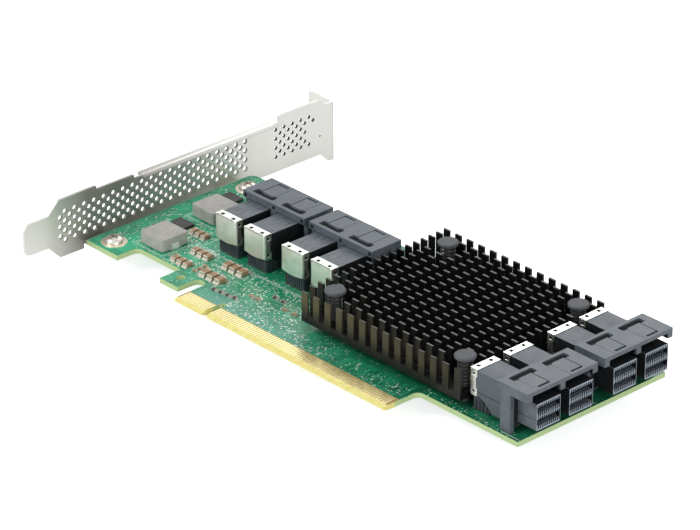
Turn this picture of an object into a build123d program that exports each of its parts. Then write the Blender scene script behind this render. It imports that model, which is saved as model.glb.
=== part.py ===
"""Sixteen-lane server adapter card on a full-height slot bracket.

The board carries a switch chip under a black pin-fin heat sink, which four sprung
push pins hold down, and four moulded socket blocks of two storage ports each: two
blocks face the far end of the card and two face its top edge.

Frame: millimetres. The origin is the centre of the edge connector's key notch, at the
tips of the contacts, on the component side. X runs from the bracket to the far end of
the card, Y from the contacts to the top edge, Z away from the component side.
"""
from build123d import *
import math
import os

# Board
BOARD_T = 1.57
BOARD_X0 = -57.15
BOARD_X1 = 110.5
BOARD_TOP_Y = 68.9
BOARD_LOW_Y = 12.6
BOARD_CORNER_R = 2.5
STEP_R = 2.0
HOOK_HOLE_X = -20.8
HOOK_HOLE_Y = 9.4
HOOK_HOLE_R = 1.4
HOOK_W = 7.8
HOOK_TIP = 4.6

# Edge connector
FINGERS_X0 = -12.65
FINGERS_X1 = 72.9
NOTCH_W = 1.9
NOTCH_DEPTH = 7.9
TIP_BEVEL_L = 1.3
TIP_BEVEL_D = 0.45
CONTACT_PITCH = 1.0
CONTACT_W = 0.7
CONTACT_T = 0.05
CONTACT_L = 4.1
FIRST_CONTACT = 1.5
CONTACTS_LEFT = 11
CONTACTS_RIGHT = 71

# Slot bracket: folded sheet
SHEET_T = 0.86
BEND_R = 0.7
BRACKET_GAP = 2.45
PLATE_Y0 = -2.8
PLATE_Y1 = 104.5
PLATE_Z0 = -4.0
PLATE_W = 18.42
TAB_L = 13.0
TAB_Z0 = 0.3
TAB_W = 10.1
TAB_SHOULDER = 4.2
TAB_CORNER_R = 2.4
FLANGE_REACH = 10.4
FLANGE_Z0 = -7.2
FLANGE_W = 18.7
FLANGE_CORNER_R = 1.8
FLANGE_TAPER = 3.6
FLANGE_NOTCH_W = 4.4
FLANGE_NOTCH_DEPTH = 5.6
FLANGE_NOTCH_OUT = 5.6
LIP_Y0 = 28.8
LIP_L = 52.5
LIP_DROP = 2.3
LIP_REACH = 2.0
RELIEF_L = 3.5
SHALLOW_L = 14.2
SHALLOW_DROP = 1.1
EAR_W = 8.2
EAR_MARGIN = 5.0
EAR_CORNER = 1.2

# Vent holes in the bracket
VENT_R = 0.92
VENT_SIDES = 4
VENT_COLUMN = 1.96
VENT_ROW = 3.0
VENT_TOP_INSET = 4.27
LONG_FIELD_INSET = 0.35
LONG_FIELD_COLUMNS = 37
SHORT_FIELD_INSET = 24.2
SHORT_FIELD_COLUMNS = 7
TAPERED_ROWS = 2

# Turned parts and their holes are drawn with this many sides
TURNED_SIDES = 8

# Two points closer than this are the same point
NEARNESS = 0.01

# Bracket screws
SCREW_X = -51.0
LOWER_SCREW_Y = 10.1
SCREW_SPACING = 51.5
SCREW_R = 1.2
SCREW_CLEARANCE = 0.4
THREAD_CLEARANCE = 0.05
SCREW_HEAD_R = 2.9
SCREW_HEAD_H = 1.7
SCREW_CROWN = 0.8
SCREW_CROWN_R = 1.6
SCREW_LENGTH = 4.6
BRACKET_TAB_END = 7.6
BRACKET_TAB_MARGIN = 5.2

# Socket block, in its own frame: U towards the mouth, W across, Z up, U = 0 at the mouths
BLOCK_W = 26.2
PORT_PITCH = 12.2
NOSE_W = 8.9
NOSE_Z0 = 2.9
NOSE_H = 8.0
NOSE_L = 7.0
BULKHEAD_T = 1.0
BULKHEAD_FOOT = 1.0
HOOD_TOP_Z = 14.4
HOOD_T = 1.2
HOOD_BACK = 12.1
HOOD_FRONT = 0.9
LEG_T = 1.5
LEG_L = 3.7
CHEEK_T = 1.9
CHEEK_H = 2.8
LUG_W = 1.8
LUG_H = 2.0
LUG_T = 0.8
SPINE_W = 2.4
SPINE_L = 8.2
CARD_SLOT_W = 7.7
CARD_SLOT_H = 1.8
CARD_SLOT_DEPTH = 5.0
CARD_SLOT_SPACING = 3.6
LATCH_W = 8.6
LATCH_L = 2.4
LATCH_INSET = 1.2
GROOVE_OFFSET = 2.2
GROOVE_W = 0.3
GROOVE_INSET = 1.0
GROOVE_TAIL_L = 4.0
GROOVE_TAIL_W = 0.55
GROOVE_DEPTH = 0.6

# Wafer stack, tin cap and tail organizer behind each port
WAFER_W = 8.5
WAFER_TOP_Z = 12.05
WAFER_FOOT_Z = 0.9
HEEL_Z = 4.6
HEEL_L = 8.0
HEEL_FLAT_L = 2.0
HEEL_SAG = 0.6
TAIL_L = 25.0
CAP_L = 2.8
CAP_T = 0.25
CAP_DROP = 8.0
ORGANIZER_INSET = 1.0
ORGANIZER_W = 8.0
ORGANIZER_L = 6.0

# Where the socket blocks stand on the board
MOUTH_OVERHANG = 2.9
END_BLOCK_MARGIN = 1.3
END_BLOCK_GAP = 2.7
TOP_MOUTH_Y = 52.6
TOP_BLOCK_GAP = 1.9
TOP_SINK_GAP = 0.2
SINK_GAP = 0.7

# Heat sink: rows of flat pins on a base
PIN_COLUMNS = 14
PIN_ROWS = 19
PIN_PITCH_X = 4.62
PIN_PITCH_Y = 3.01
PIN_L = 2.4
PIN_T = 0.6
PIN_H = 8.0
FRONT_PIN_H = 7.15
SINK_Y0 = 13.75
SINK_Z0 = 2.5
SINK_BASE_T = 2.0

# Switch chip under the heat sink
CHIP_SIDE = 35.0
CHIP_T = 1.3
LID_SIDE = 32.0
LID_T = 0.9

# Push pins and their springs, placed from the heat sink's near left corner
PUSH_PIN_XS = (8.3, 59.2)
PUSH_PIN_YS = (4.95, 47.95)
PUSH_HEAD_R = 3.08
PUSH_HEAD_T = 0.9
PUSH_HEAD_DRAFT = 0.2
PUSH_HEAD_LIFT = 0.3
PUSH_SHANK_R = 1.35
PUSH_HOLE_CLEARANCE = 0.25
PUSH_BARB_R = 1.9
PUSH_BARB_L = 2.4
PUSH_TIP_R = 0.7
SPRING_R = 2.25
SPRING_WIRE = 0.6
SPRING_SIDES = 6
PIN_CLEARANCE = 0.3

# Power parts
INDUCTOR_SIDE = 10.0
INDUCTOR_H = 4.0
INDUCTOR_BEVEL = 0.35
INDUCTOR_CORNER = 1.0
INDUCTORS_XY = ((-40.5, 20.1), (-43.6, 42.4))
REGULATOR_L = 6.2
REGULATOR_W = 4.2
REGULATOR_H = 1.0
REGULATORS_XY = ((-45.5, 31.2), (-48.5, 52.8))

# Ceramic capacitors, in short rows
CERAMIC_L = 3.2
CERAMIC_W = 2.5
CERAMIC_H = 1.5
CERAMIC_PITCH = 3.3
CERAMICS_IN_ROW = 3
CERAMIC_ROWS_XY = ((-37.2, 30.7), (-27.0, 22.9), (-27.5, 15.6), (-14.1, 15.7), (-13.3, 23.4))

# Small resistors and capacitors: first place, step to the next, and how many
SMALL_L = 1.6
SMALL_W = 0.8
SMALL_H = 0.5
SMALL_ROWS = (
    ((-20.8, 14.8), (0, 2.0), 3), ((-8.5, 11.2), (2.6, 0.3), 4), ((1.8, 16.2), (2.4, 0), 2),
    ((7.0, 20.4), (3.4, 0), 2), ((14.2, 17.6), (4.0, 0), 2), ((-50.5, 22.4), (0, 2.6), 2),
)

BRACKET_X1 = BOARD_X0 - BRACKET_GAP
BRACKET_X0 = BRACKET_X1 - SHEET_T
PLATE_Z1 = PLATE_Z0 + PLATE_W
EAR_Z0 = -BOARD_T - SHEET_T
SCREW_PLACES = ((SCREW_X, LOWER_SCREW_Y), (SCREW_X, LOWER_SCREW_Y + SCREW_SPACING))
SCREW_HOLE_R = SCREW_R + SCREW_CLEARANCE

MOUTH_X = BOARD_X1 + MOUTH_OVERHANG
SINK_X1 = MOUTH_X - TAIL_L - SINK_GAP
SINK_X0 = SINK_X1 - PIN_PITCH_X * (PIN_COLUMNS - 1) - PIN_L
SINK_Y1 = SINK_Y0 + PIN_PITCH_Y * (PIN_ROWS - 1) + PIN_T
SINK_BASE_Z = SINK_Z0 + SINK_BASE_T
TOP_RIGHT_X = SINK_X0 - TOP_SINK_GAP - BLOCK_W / 2
TOP_BLOCKS_X = (TOP_RIGHT_X - BLOCK_W - TOP_BLOCK_GAP, TOP_RIGHT_X)
END_NEAR_Y = BOARD_LOW_Y + END_BLOCK_MARGIN + BLOCK_W / 2
END_BLOCKS_Y = (END_NEAR_Y, END_NEAR_Y + BLOCK_W + END_BLOCK_GAP)

PUSH_PLACES = [(SINK_X0 + x, SINK_Y0 + y) for x in PUSH_PIN_XS for y in PUSH_PIN_YS]
PUSH_UNDER_HEAD_Z = SINK_BASE_Z + PIN_H + PUSH_HEAD_LIFT
PUSH_HOLE_R = PUSH_SHANK_R + PUSH_HOLE_CLEARANCE
PORT_MIDDLES = (-PORT_PITCH / 2, PORT_PITCH / 2)
CAP_TOP_Z = WAFER_TOP_Z + CAP_T
NODES = {}


def box(x0, x1, y0, y1, z0, z1):
    """A box between two corners."""
    centre = ((x0 + x1) / 2, (y0 + y1) / 2, (z0 + z1) / 2)
    return Pos(*centre) * Box(abs(x1 - x0), abs(y1 - y0), abs(z1 - z0))


def outline(points):
    """A flat face inside a closed run of points."""
    return make_face(Polyline(*points, close=True))


def turned(x, y, steps, sides=TURNED_SIDES):
    """A turned part, from (lower z, upper z, lower radius, upper radius) for each step."""
    part = Part()
    for z0, z1, r0, r1 in steps:
        inward = abs(r0 - r1) * math.cos(math.pi / sides)
        taper = math.degrees(math.atan2(inward, z1 - z0))
        step = extrude(RegularPolygon(max(r0, r1), sides), amount=z1 - z0, taper=taper)
        upright = Pos(x, y, z0) if r0 >= r1 else Pos(x, y, z1) * Rot(180, 0, 0)
        part += upright * step
    return part


def straight(x, y, z0, z1, radius, sides=TURNED_SIDES):
    """A straight hole or post with the sides of a turned part."""
    return turned(x, y, [(z0, z1, radius, radius)], sides)


def near(vertex, corners):
    """True when a vertex or edge middle stands on one of the flat corners."""
    return any(math.hypot(vertex.X - x, vertex.Y - y) < NEARNESS for x, y in corners)


def round_corners(face, corners, radius):
    """Round the named corners of a flat face."""
    return fillet([v for v in face.vertices() if near(v, corners)], radius)


def board_outline():
    """The board's edge, with its bracket tab, hook tab and key notch."""
    notch = NOTCH_W / 2
    tab_x1 = SCREW_X + BRACKET_TAB_END
    tab_y0 = LOWER_SCREW_Y - BRACKET_TAB_MARGIN
    hook_x0 = HOOK_HOLE_X - HOOK_W / 2
    hook_x1 = HOOK_HOLE_X + HOOK_W / 2
    hook_y0 = HOOK_HOLE_Y - HOOK_TIP
    face = outline([
        (BOARD_X0, tab_y0), (tab_x1, tab_y0), (tab_x1, BOARD_LOW_Y), (hook_x0, BOARD_LOW_Y),
        (hook_x0, hook_y0), (hook_x1, hook_y0), (hook_x1, BOARD_LOW_Y),
        (FINGERS_X0, BOARD_LOW_Y), (FINGERS_X0, 0), (-notch, 0), (-notch, NOTCH_DEPTH),
        (notch, NOTCH_DEPTH), (notch, 0), (FINGERS_X1, 0), (FINGERS_X1, BOARD_LOW_Y),
        (BOARD_X1, BOARD_LOW_Y), (BOARD_X1, BOARD_TOP_Y), (BOARD_X0, BOARD_TOP_Y),
    ])
    inner = [(x, BOARD_LOW_Y) for x in (tab_x1, hook_x1, FINGERS_X0, FINGERS_X1)]
    face = round_corners(face, inner, STEP_R)
    return round_corners(face, [(BOARD_X0, BOARD_TOP_Y)], BOARD_CORNER_R)


def circuit_board():
    """The board, bevelled at the contact tips and drilled for what passes through it."""
    board = extrude(board_outline(), amount=-BOARD_T)
    for face_z, inward in ((0, -TIP_BEVEL_D), (-BOARD_T, TIP_BEVEL_D)):
        wedge = outline([(0, face_z), (TIP_BEVEL_L, face_z), (0, face_z + inward)])
        board -= Pos(FINGERS_X0, 0, 0) * extrude(Plane.YZ * wedge, amount=FINGERS_X1 - FINGERS_X0)
    board -= Pos(HOOK_HOLE_X, HOOK_HOLE_Y, -BOARD_T / 2) * Cylinder(HOOK_HOLE_R, BOARD_T)
    board -= [straight(x, y, -BOARD_T, 0, SCREW_HOLE_R) for x, y in SCREW_PLACES]
    board -= [straight(x, y, -BOARD_T, 0, PUSH_HOLE_R) for x, y in PUSH_PLACES]
    return board


def contact_bands(z0):
    """The plated contacts of one board face, as one band on each side of the key notch."""
    bands = []
    for side, count in ((-1, CONTACTS_LEFT), (1, CONTACTS_RIGHT)):
        first = side * (FIRST_CONTACT - CONTACT_W / 2)
        last = side * (FIRST_CONTACT + CONTACT_PITCH * (count - 1) + CONTACT_W / 2)
        bands.append(box(first, last, TIP_BEVEL_L, TIP_BEVEL_L + CONTACT_L, z0, z0 + CONTACT_T))
    return bands


def vent_places():
    """Centres of the vent holes: columns of four and three, staggered by half a row."""
    top = PLATE_Z1 - VENT_TOP_INSET
    low = top - VENT_ROW / 2
    full = [top - VENT_ROW * row for row in range(4)]
    short = [low - VENT_ROW * row for row in range(3)]
    start = PLATE_Y0 + LONG_FIELD_INSET
    places = [(start + VENT_COLUMN * column, z) for column in range(LONG_FIELD_COLUMNS)
              for z in (full if column % 2 else short)]
    start = PLATE_Y1 - SHORT_FIELD_INSET
    places += [(start + VENT_COLUMN * column, z) for column in range(SHORT_FIELD_COLUMNS)
               for z in (short if column % 2 else full)]
    end = start + VENT_COLUMN * SHORT_FIELD_COLUMNS
    places += [(end, z) for z in short[:TAPERED_ROWS]]
    places += [(end + VENT_COLUMN, top), (end + VENT_COLUMN * 2, low)]
    return places


def bracket_face():
    """The bracket's plate, drawn flat in Y and Z with its tongue, ears, lip and vents."""
    tongue_y = PLATE_Y0 - TAB_L
    shoulder_y = PLATE_Y0 - TAB_SHOULDER
    tab_z1 = TAB_Z0 + TAB_W
    lip_y1 = LIP_Y0 + LIP_L
    relief_y = LIP_Y0 - RELIEF_L
    taper_y = PLATE_Y1 - FLANGE_TAPER
    points = [(tongue_y, TAB_Z0), (shoulder_y, TAB_Z0), (PLATE_Y0, PLATE_Z0)]
    for _, y in SCREW_PLACES:
        points += [(y - EAR_W / 2, PLATE_Z0), (y - EAR_W / 2, EAR_Z0),
                   (y + EAR_W / 2, EAR_Z0), (y + EAR_W / 2, PLATE_Z0)]
    points += [
        (taper_y - SHEET_T, PLATE_Z0), (taper_y, FLANGE_Z0), (PLATE_Y1, FLANGE_Z0),
        (PLATE_Y1, FLANGE_Z0 + FLANGE_W), (taper_y, PLATE_Z1), (lip_y1, PLATE_Z1),
        (lip_y1, PLATE_Z1 - LIP_DROP), (relief_y, PLATE_Z1 - LIP_DROP),
        (relief_y, PLATE_Z1 - SHALLOW_DROP), (relief_y - SHALLOW_L, PLATE_Z1 - SHALLOW_DROP),
        (relief_y - SHALLOW_L, PLATE_Z1), (PLATE_Y0, PLATE_Z1), (shoulder_y, tab_z1),
        (tongue_y, tab_z1),
    ]
    face = round_corners(outline(points), [(tongue_y, TAB_Z0), (tongue_y, tab_z1)], TAB_CORNER_R)
    vent = RegularPolygon(VENT_R, VENT_SIDES)
    return face - [Pos(y, z) * vent for y, z in vent_places()]


def screw_flange():
    """The bent end that the chassis screw holds, with its open notch."""
    outer = BRACKET_X0 - FLANGE_REACH
    top = FLANGE_Z0 + FLANGE_W
    face = outline([(outer, FLANGE_Z0), (BRACKET_X0, FLANGE_Z0), (BRACKET_X0, top), (outer, top)])
    face = round_corners(face, [(outer, FLANGE_Z0), (outer, top)], FLANGE_CORNER_R)
    middle = BRACKET_X0 - FLANGE_NOTCH_OUT
    radius = FLANGE_NOTCH_W / 2
    round_z = FLANGE_Z0 + FLANGE_NOTCH_DEPTH - radius
    notch = outline([(middle - radius, FLANGE_Z0), (middle + radius, FLANGE_Z0),
                     (middle + radius, round_z), (middle - radius, round_z)])
    face -= notch + Pos(middle, round_z) * Circle(radius)
    return Pos(0, PLATE_Y1, 0) * extrude(Plane.XZ * face, amount=SHEET_T)


def bracket_ear(x, y):
    """A tab folded under the board, which takes one bracket screw."""
    end = x + EAR_MARGIN
    ear = box(BRACKET_X0, end, y - EAR_W / 2, y + EAR_W / 2, EAR_Z0, EAR_Z0 + SHEET_T)
    ear = chamfer(ear.edges().filter_by(Axis.Z).group_by(Axis.X)[-1], EAR_CORNER)
    return ear - straight(x, y, EAR_Z0, EAR_Z0 + SHEET_T, SCREW_R + THREAD_CLEARANCE)


def slot_bracket():
    """Folded steel bracket: vented plate, screw flange, stiffening lip and two ears."""
    bracket = Pos(BRACKET_X0, 0, 0) * extrude(Plane.YZ * bracket_face(), amount=SHEET_T)
    lip_z = PLATE_Z1 - LIP_DROP
    bracket += box(BRACKET_X0 - LIP_REACH, BRACKET_X0, LIP_Y0, LIP_Y0 + LIP_L,
                   lip_z - SHEET_T, lip_z)
    bracket += screw_flange()
    bracket += [bracket_ear(x, y) for x, y in SCREW_PLACES]
    flange_bend = bracket.edges().filter_by(Axis.Z).filter_by(
        lambda edge: near(edge.center(), [(BRACKET_X1, PLATE_Y1)]))
    bracket = fillet(flange_bend, BEND_R)
    ear_bends = bracket.edges().filter_by(Axis.Y).filter_by(
        lambda edge: math.hypot(edge.center().X - BRACKET_X0, edge.center().Z - EAR_Z0) < NEARNESS)
    return fillet(ear_bends, BEND_R)


def bracket_screw(x, y):
    """Pan-head screw, down through the board into an ear."""
    rim = SCREW_HEAD_H - SCREW_CROWN
    return turned(x, y, [(-SCREW_LENGTH, 0, SCREW_R, SCREW_R),
                         (0, rim, SCREW_HEAD_R, SCREW_HEAD_R),
                         (rim, SCREW_HEAD_H, SCREW_HEAD_R, SCREW_CROWN_R)])


def sink_pins():
    """Outlines of the heat sink's pins, which leave room for the push-pin heads."""
    clear = PUSH_HEAD_R + PIN_CLEARANCE
    rows = ([], [])
    for row in range(PIN_ROWS):
        y = SINK_Y0 + PIN_T / 2 + PIN_PITCH_Y * row
        for column in range(PIN_COLUMNS):
            x = SINK_X0 + PIN_L / 2 + PIN_PITCH_X * column
            if all(math.hypot(max(abs(x - px) - PIN_L / 2, 0), y - py) > clear
                   for px, py in PUSH_PLACES):
                rows[min(row, 1)].append(Pos(x, y, SINK_BASE_Z) * Rectangle(PIN_L, PIN_T))
    return rows


def heat_sink():
    """Pin-fin heat sink: a base with cross-cut fins, the front row a little lower."""
    front, others = sink_pins()
    sink = box(SINK_X0, SINK_X1, SINK_Y0, SINK_Y1, SINK_Z0, SINK_BASE_Z)
    sink += [extrude(pin, amount=FRONT_PIN_H) for pin in front]
    sink += [extrude(pin, amount=PIN_H) for pin in others]
    return sink - [straight(x, y, SINK_Z0, SINK_BASE_Z, PUSH_HOLE_R) for x, y in PUSH_PLACES]


def plate_under_sink(side, z0, z1):
    """A square plate under the middle of the heat sink."""
    middle = Pos((SINK_X0 + SINK_X1) / 2, (SINK_Y0 + SINK_Y1) / 2, (z0 + z1) / 2)
    return middle * Box(side, side, z1 - z0)


def push_pin(x, y):
    """Plastic push pin: flat head, shank, and a barb under the board."""
    under = -BOARD_T
    head_top = PUSH_UNDER_HEAD_Z + PUSH_HEAD_T
    return turned(x, y, [
        (under - PUSH_BARB_L, under, PUSH_TIP_R, PUSH_BARB_R),
        (under, PUSH_UNDER_HEAD_Z, PUSH_SHANK_R, PUSH_SHANK_R),
        (PUSH_UNDER_HEAD_Z, head_top, PUSH_HEAD_R, PUSH_HEAD_R - PUSH_HEAD_DRAFT)])


def push_pin_spring(x, y):
    """Coil spring between the heat sink and a push pin's head, as a closed sleeve."""
    outer, inner = (straight(x, y, SINK_BASE_Z, PUSH_UNDER_HEAD_Z, radius, SPRING_SIDES)
                    for radius in (SPRING_R, SPRING_R - SPRING_WIRE))
    return outer - inner


def socket_roof():
    """Hood of a socket block in plan, with its latch panels and guide grooves cut in."""
    half = BLOCK_W / 2
    roof = box(-HOOD_BACK, -HOOD_FRONT, -half, half, HOOD_TOP_Z - HOOD_T, HOOD_TOP_Z)
    latch_u = LATCH_INSET - HOOD_BACK
    groove_u = -HOOD_FRONT - GROOVE_INSET
    cuts = []
    for w in PORT_MIDDLES:
        line = w + GROOVE_OFFSET
        cuts += [
            (latch_u, latch_u + LATCH_L, w - LATCH_W / 2, w + LATCH_W / 2),
            (latch_u + LATCH_L, groove_u, line, line + GROOVE_W),
            (groove_u - GROOVE_TAIL_W, groove_u, line - GROOVE_TAIL_L, line + GROOVE_W),
        ]
    floor = HOOD_TOP_Z - GROOVE_DEPTH
    return roof - [box(*cut, floor, HOOD_TOP_Z) for cut in cuts]


def socket_nose():
    """One port's nose, extruded from its front face with two card slots."""
    front = Rectangle(NOSE_W, NOSE_H)
    slot = Rectangle(CARD_SLOT_W, CARD_SLOT_H)
    slots = [Pos(0, side * CARD_SLOT_SPACING / 2) * slot for side in (-1, 1)]
    nose = extrude(Plane.YZ * front, amount=-NOSE_L)
    nose -= [extrude(Plane.YZ * opening, amount=-CARD_SLOT_DEPTH) for opening in slots]
    return Pos(0, 0, NOSE_Z0 + NOSE_H / 2) * nose


def socket_housing():
    """Moulded body of a two-port socket: hood, legs, cheeks, bulkhead, spine and noses."""
    half = BLOCK_W / 2
    under = HOOD_TOP_Z - HOOD_T
    bulkhead = -NOSE_L - BULKHEAD_T
    wall = HOOD_T - HOOD_BACK
    spine = SPINE_W / 2
    body = socket_roof()
    body += box(bulkhead, -NOSE_L, LEG_T - half, half - LEG_T, NOSE_Z0 - BULKHEAD_FOOT, under)
    body += box(-HOOD_BACK, wall, -half, half, CAP_TOP_Z, under)
    body += box(-HOOD_BACK, wall, -spine, spine, under - SPINE_L, under)
    body += box(-HOOD_FRONT - LUG_T, -HOOD_FRONT, -LUG_W / 2, LUG_W / 2, under - LUG_H, under)
    for side in (-1, 1):
        outer = side * half
        body += box(wall, wall + LEG_L, outer, outer - side * LEG_T, 0, under)
        body += box(bulkhead, -HOOD_FRONT, outer, outer - side * CHEEK_T,
                    HOOD_TOP_Z - CHEEK_H, under)
    return body + [Pos(0, w, 0) * socket_nose() for w in PORT_MIDDLES]


def wafer_stack(w):
    """Signal wafers of one port, from their side outline with the rounded heel."""
    back = CAP_T - TAIL_L
    front = -NOSE_L - BULKHEAD_T
    heel_start = back + HEEL_FLAT_L
    heel_end = back + HEEL_L
    knee = ((heel_start + heel_end) / 2 + HEEL_SAG, (HEEL_Z + WAFER_FOOT_Z) / 2 + HEEL_SAG)
    side = outline([(heel_end, WAFER_FOOT_Z), (front, WAFER_FOOT_Z), (front, WAFER_TOP_Z),
                    (back, WAFER_TOP_Z), (back, HEEL_Z), (heel_start, HEEL_Z), knee])
    return Pos(0, w, 0) * extrude(Plane.XZ * side, amount=WAFER_W / 2, both=True)


def tail_organizer(w):
    """Plastic block that holds one port's contact tails at the board, under the heel."""
    back = ORGANIZER_INSET - TAIL_L
    block = box(back, back + ORGANIZER_L, w - ORGANIZER_W / 2, w + ORGANIZER_W / 2, 0, HEEL_Z)
    return block - wafer_stack(w)


def socket_cap(w):
    """Folded tin cap over the back of one port."""
    front = CAP_L - TAIL_L
    foot = CAP_TOP_Z - CAP_DROP
    half = WAFER_W / 2
    cap = box(-TAIL_L, front, w - half - CAP_T, w + half + CAP_T, foot, CAP_TOP_Z)
    return cap - box(CAP_T - TAIL_L, front, w - half, w + half, foot, WAFER_TOP_Z)


def inductor(x, y):
    """Moulded power inductor with cut corners and a bevelled top."""
    block = Pos(x, y, INDUCTOR_H / 2) * Box(INDUCTOR_SIDE, INDUCTOR_SIDE, INDUCTOR_H)
    block = chamfer(block.edges().filter_by(Axis.Z), INDUCTOR_CORNER)
    return chamfer(block.faces().sort_by(Axis.Z)[-1].edges(), INDUCTOR_BEVEL)


def block_on_board(x, y, length, width, height):
    """A small component's body, seated on the board."""
    return Pos(x, y, height / 2) * Box(length, width, height)


def capacitor_row(x, y):
    """Ceramic capacitors side by side, each lying across the row."""
    middle = (CERAMICS_IN_ROW - 1) / 2
    return [block_on_board(x + CERAMIC_PITCH * (i - middle), y, CERAMIC_W, CERAMIC_L, CERAMIC_H)
            for i in range(CERAMICS_IN_ROW)]


def small_row(first, step, count):
    """A row of small resistors or capacitors."""
    return [block_on_board(first[0] + step[0] * i, first[1] + step[1] * i,
                           SMALL_L, SMALL_W, SMALL_H) for i in range(count)]


def add(name, shape):
    """Keep one node: a solid, or a list of like solids."""
    NODES[name] = Compound(label=name, children=shape) if isinstance(shape, list) else shape


def add_socket_block(name, place):
    """The nodes of one socket block, carried to its place on the board."""
    add("socket_housing_" + name, place * socket_housing())
    for number, w in enumerate(PORT_MIDDLES, 1):
        port = name + "_" + str(number)
        add("wafer_stack_" + port, place * wafer_stack(w))
        add("tail_organizer_" + port, place * tail_organizer(w))
        add("socket_cap_" + port, place * socket_cap(w))


add("circuit_board", circuit_board())
add("edge_contacts_front", contact_bands(0))
add("edge_contacts_back", contact_bands(-BOARD_T - CONTACT_T))
add("slot_bracket", slot_bracket())
for label, spot in zip(("lower", "upper"), SCREW_PLACES):
    add("bracket_screw_" + label, bracket_screw(*spot))
add("heat_sink", heat_sink())
add("switch_chip", plate_under_sink(CHIP_SIDE, 0, CHIP_T))
add("chip_lid", plate_under_sink(LID_SIDE, CHIP_T, CHIP_T + LID_T))
add("thermal_pad", plate_under_sink(LID_SIDE, CHIP_T + LID_T, SINK_Z0))
for index, spot in enumerate(PUSH_PLACES, 1):
    add("push_pin_" + str(index), push_pin(*spot))
    add("push_pin_spring_" + str(index), push_pin_spring(*spot))
for label, y in zip(("near", "far"), END_BLOCKS_Y):
    add_socket_block("end_" + label, Pos(MOUTH_X, y, 0))
for label, x in zip(("left", "right"), TOP_BLOCKS_X):
    add_socket_block("top_" + label, Pos(x, TOP_MOUTH_Y, 0) * Rot(0, 0, 90))
for label, spot in zip(("lower", "upper"), INDUCTORS_XY):
    add("inductor_" + label, inductor(*spot))
add("regulator_chips", [block_on_board(x, y, REGULATOR_L, REGULATOR_W, REGULATOR_H)
                        for x, y in REGULATORS_XY])
add("ceramic_capacitors", [part for spot in CERAMIC_ROWS_XY for part in capacitor_row(*spot)])
add("small_components", [part for row in SMALL_ROWS for part in small_row(*row)])

os.makedirs("parts", exist_ok=True)
for node, shape in NODES.items():
    export_step(shape, "parts/" + node + ".step")
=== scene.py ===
"""Surfaces, small parts and stage of a server adapter card, laid out as an add-on.

Each operator builds one group of the card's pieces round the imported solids, which stay
where they are. Lengths in the mesh code are millimetres in the card's own frame: X from
the bracket to the far end, Y from the contacts to the top edge, Z off the component side.
"""
import math
import random

import bmesh
import bpy
from bpy.props import FloatProperty, FloatVectorProperty, IntProperty, PointerProperty
from mathutils import Matrix, Vector


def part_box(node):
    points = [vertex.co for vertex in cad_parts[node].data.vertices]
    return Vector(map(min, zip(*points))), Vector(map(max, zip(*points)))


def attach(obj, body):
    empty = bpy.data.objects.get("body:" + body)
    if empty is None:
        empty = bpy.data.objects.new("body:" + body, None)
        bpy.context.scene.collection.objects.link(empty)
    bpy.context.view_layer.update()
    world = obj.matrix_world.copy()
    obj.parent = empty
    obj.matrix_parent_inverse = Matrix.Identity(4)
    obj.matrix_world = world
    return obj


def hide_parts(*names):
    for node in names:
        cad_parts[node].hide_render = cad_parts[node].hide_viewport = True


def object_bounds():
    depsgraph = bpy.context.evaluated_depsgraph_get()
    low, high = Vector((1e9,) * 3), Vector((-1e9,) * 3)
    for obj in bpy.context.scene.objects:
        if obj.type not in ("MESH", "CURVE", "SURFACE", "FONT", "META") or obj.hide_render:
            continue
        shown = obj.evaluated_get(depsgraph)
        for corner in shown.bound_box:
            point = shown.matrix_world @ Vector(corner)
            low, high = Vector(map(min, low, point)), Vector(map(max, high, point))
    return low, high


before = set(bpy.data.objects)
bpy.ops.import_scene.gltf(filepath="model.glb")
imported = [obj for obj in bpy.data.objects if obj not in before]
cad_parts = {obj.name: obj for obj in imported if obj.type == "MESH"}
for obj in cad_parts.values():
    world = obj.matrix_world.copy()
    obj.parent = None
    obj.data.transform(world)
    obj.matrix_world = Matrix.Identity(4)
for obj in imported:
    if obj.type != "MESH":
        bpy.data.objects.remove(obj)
CAD_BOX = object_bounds()

bl_info = {
    "name": "Server Adapter Card",
    "version": (1, 0, 0),
    "blender": (4, 5, 0),
    "location": "3D View > Sidebar > Adapter Card",
    "description": "Builds the surfaces and small parts of a server adapter card",
    "category": "Object",
}

MM = 0.001

# Board
BOARD_T = 1.57
CONTACT_T = 0.05
CONTACT_Y0, CONTACT_Y1 = 1.3, 5.4
CONTACT_PITCH = 1.0
FIRST_CONTACT = 1.5
CONTACTS_LEFT, CONTACTS_RIGHT = 11, 71
CONTACT_EDGE_X0 = -13.5
PRINT_T = 0.02
TRACE_W = 0.14
MASK_Y0 = 5.7

# Fields of small pads and holes on the board: X and Y ranges, and how many
PAD_FIELDS = (
    (0, 40, 5.9, 12.0, 260), (40, 73.5, 5.9, 12.0, 90), (-12, 22, 12.6, 25.5, 330),
    (-34, -10, 13.2, 27.0, 300), (-56, -32, 26.0, 36.5, 260), (-34, 22, 24.5, 27.2, 220),
    (-56, -36, 13.4, 27.0, 130), (-56, -31, 47.8, 67.5, 230), (74, 109, 12.9, 15.6, 60),
    (-52, 20, 53.0, 67.5, 160),
)

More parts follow.
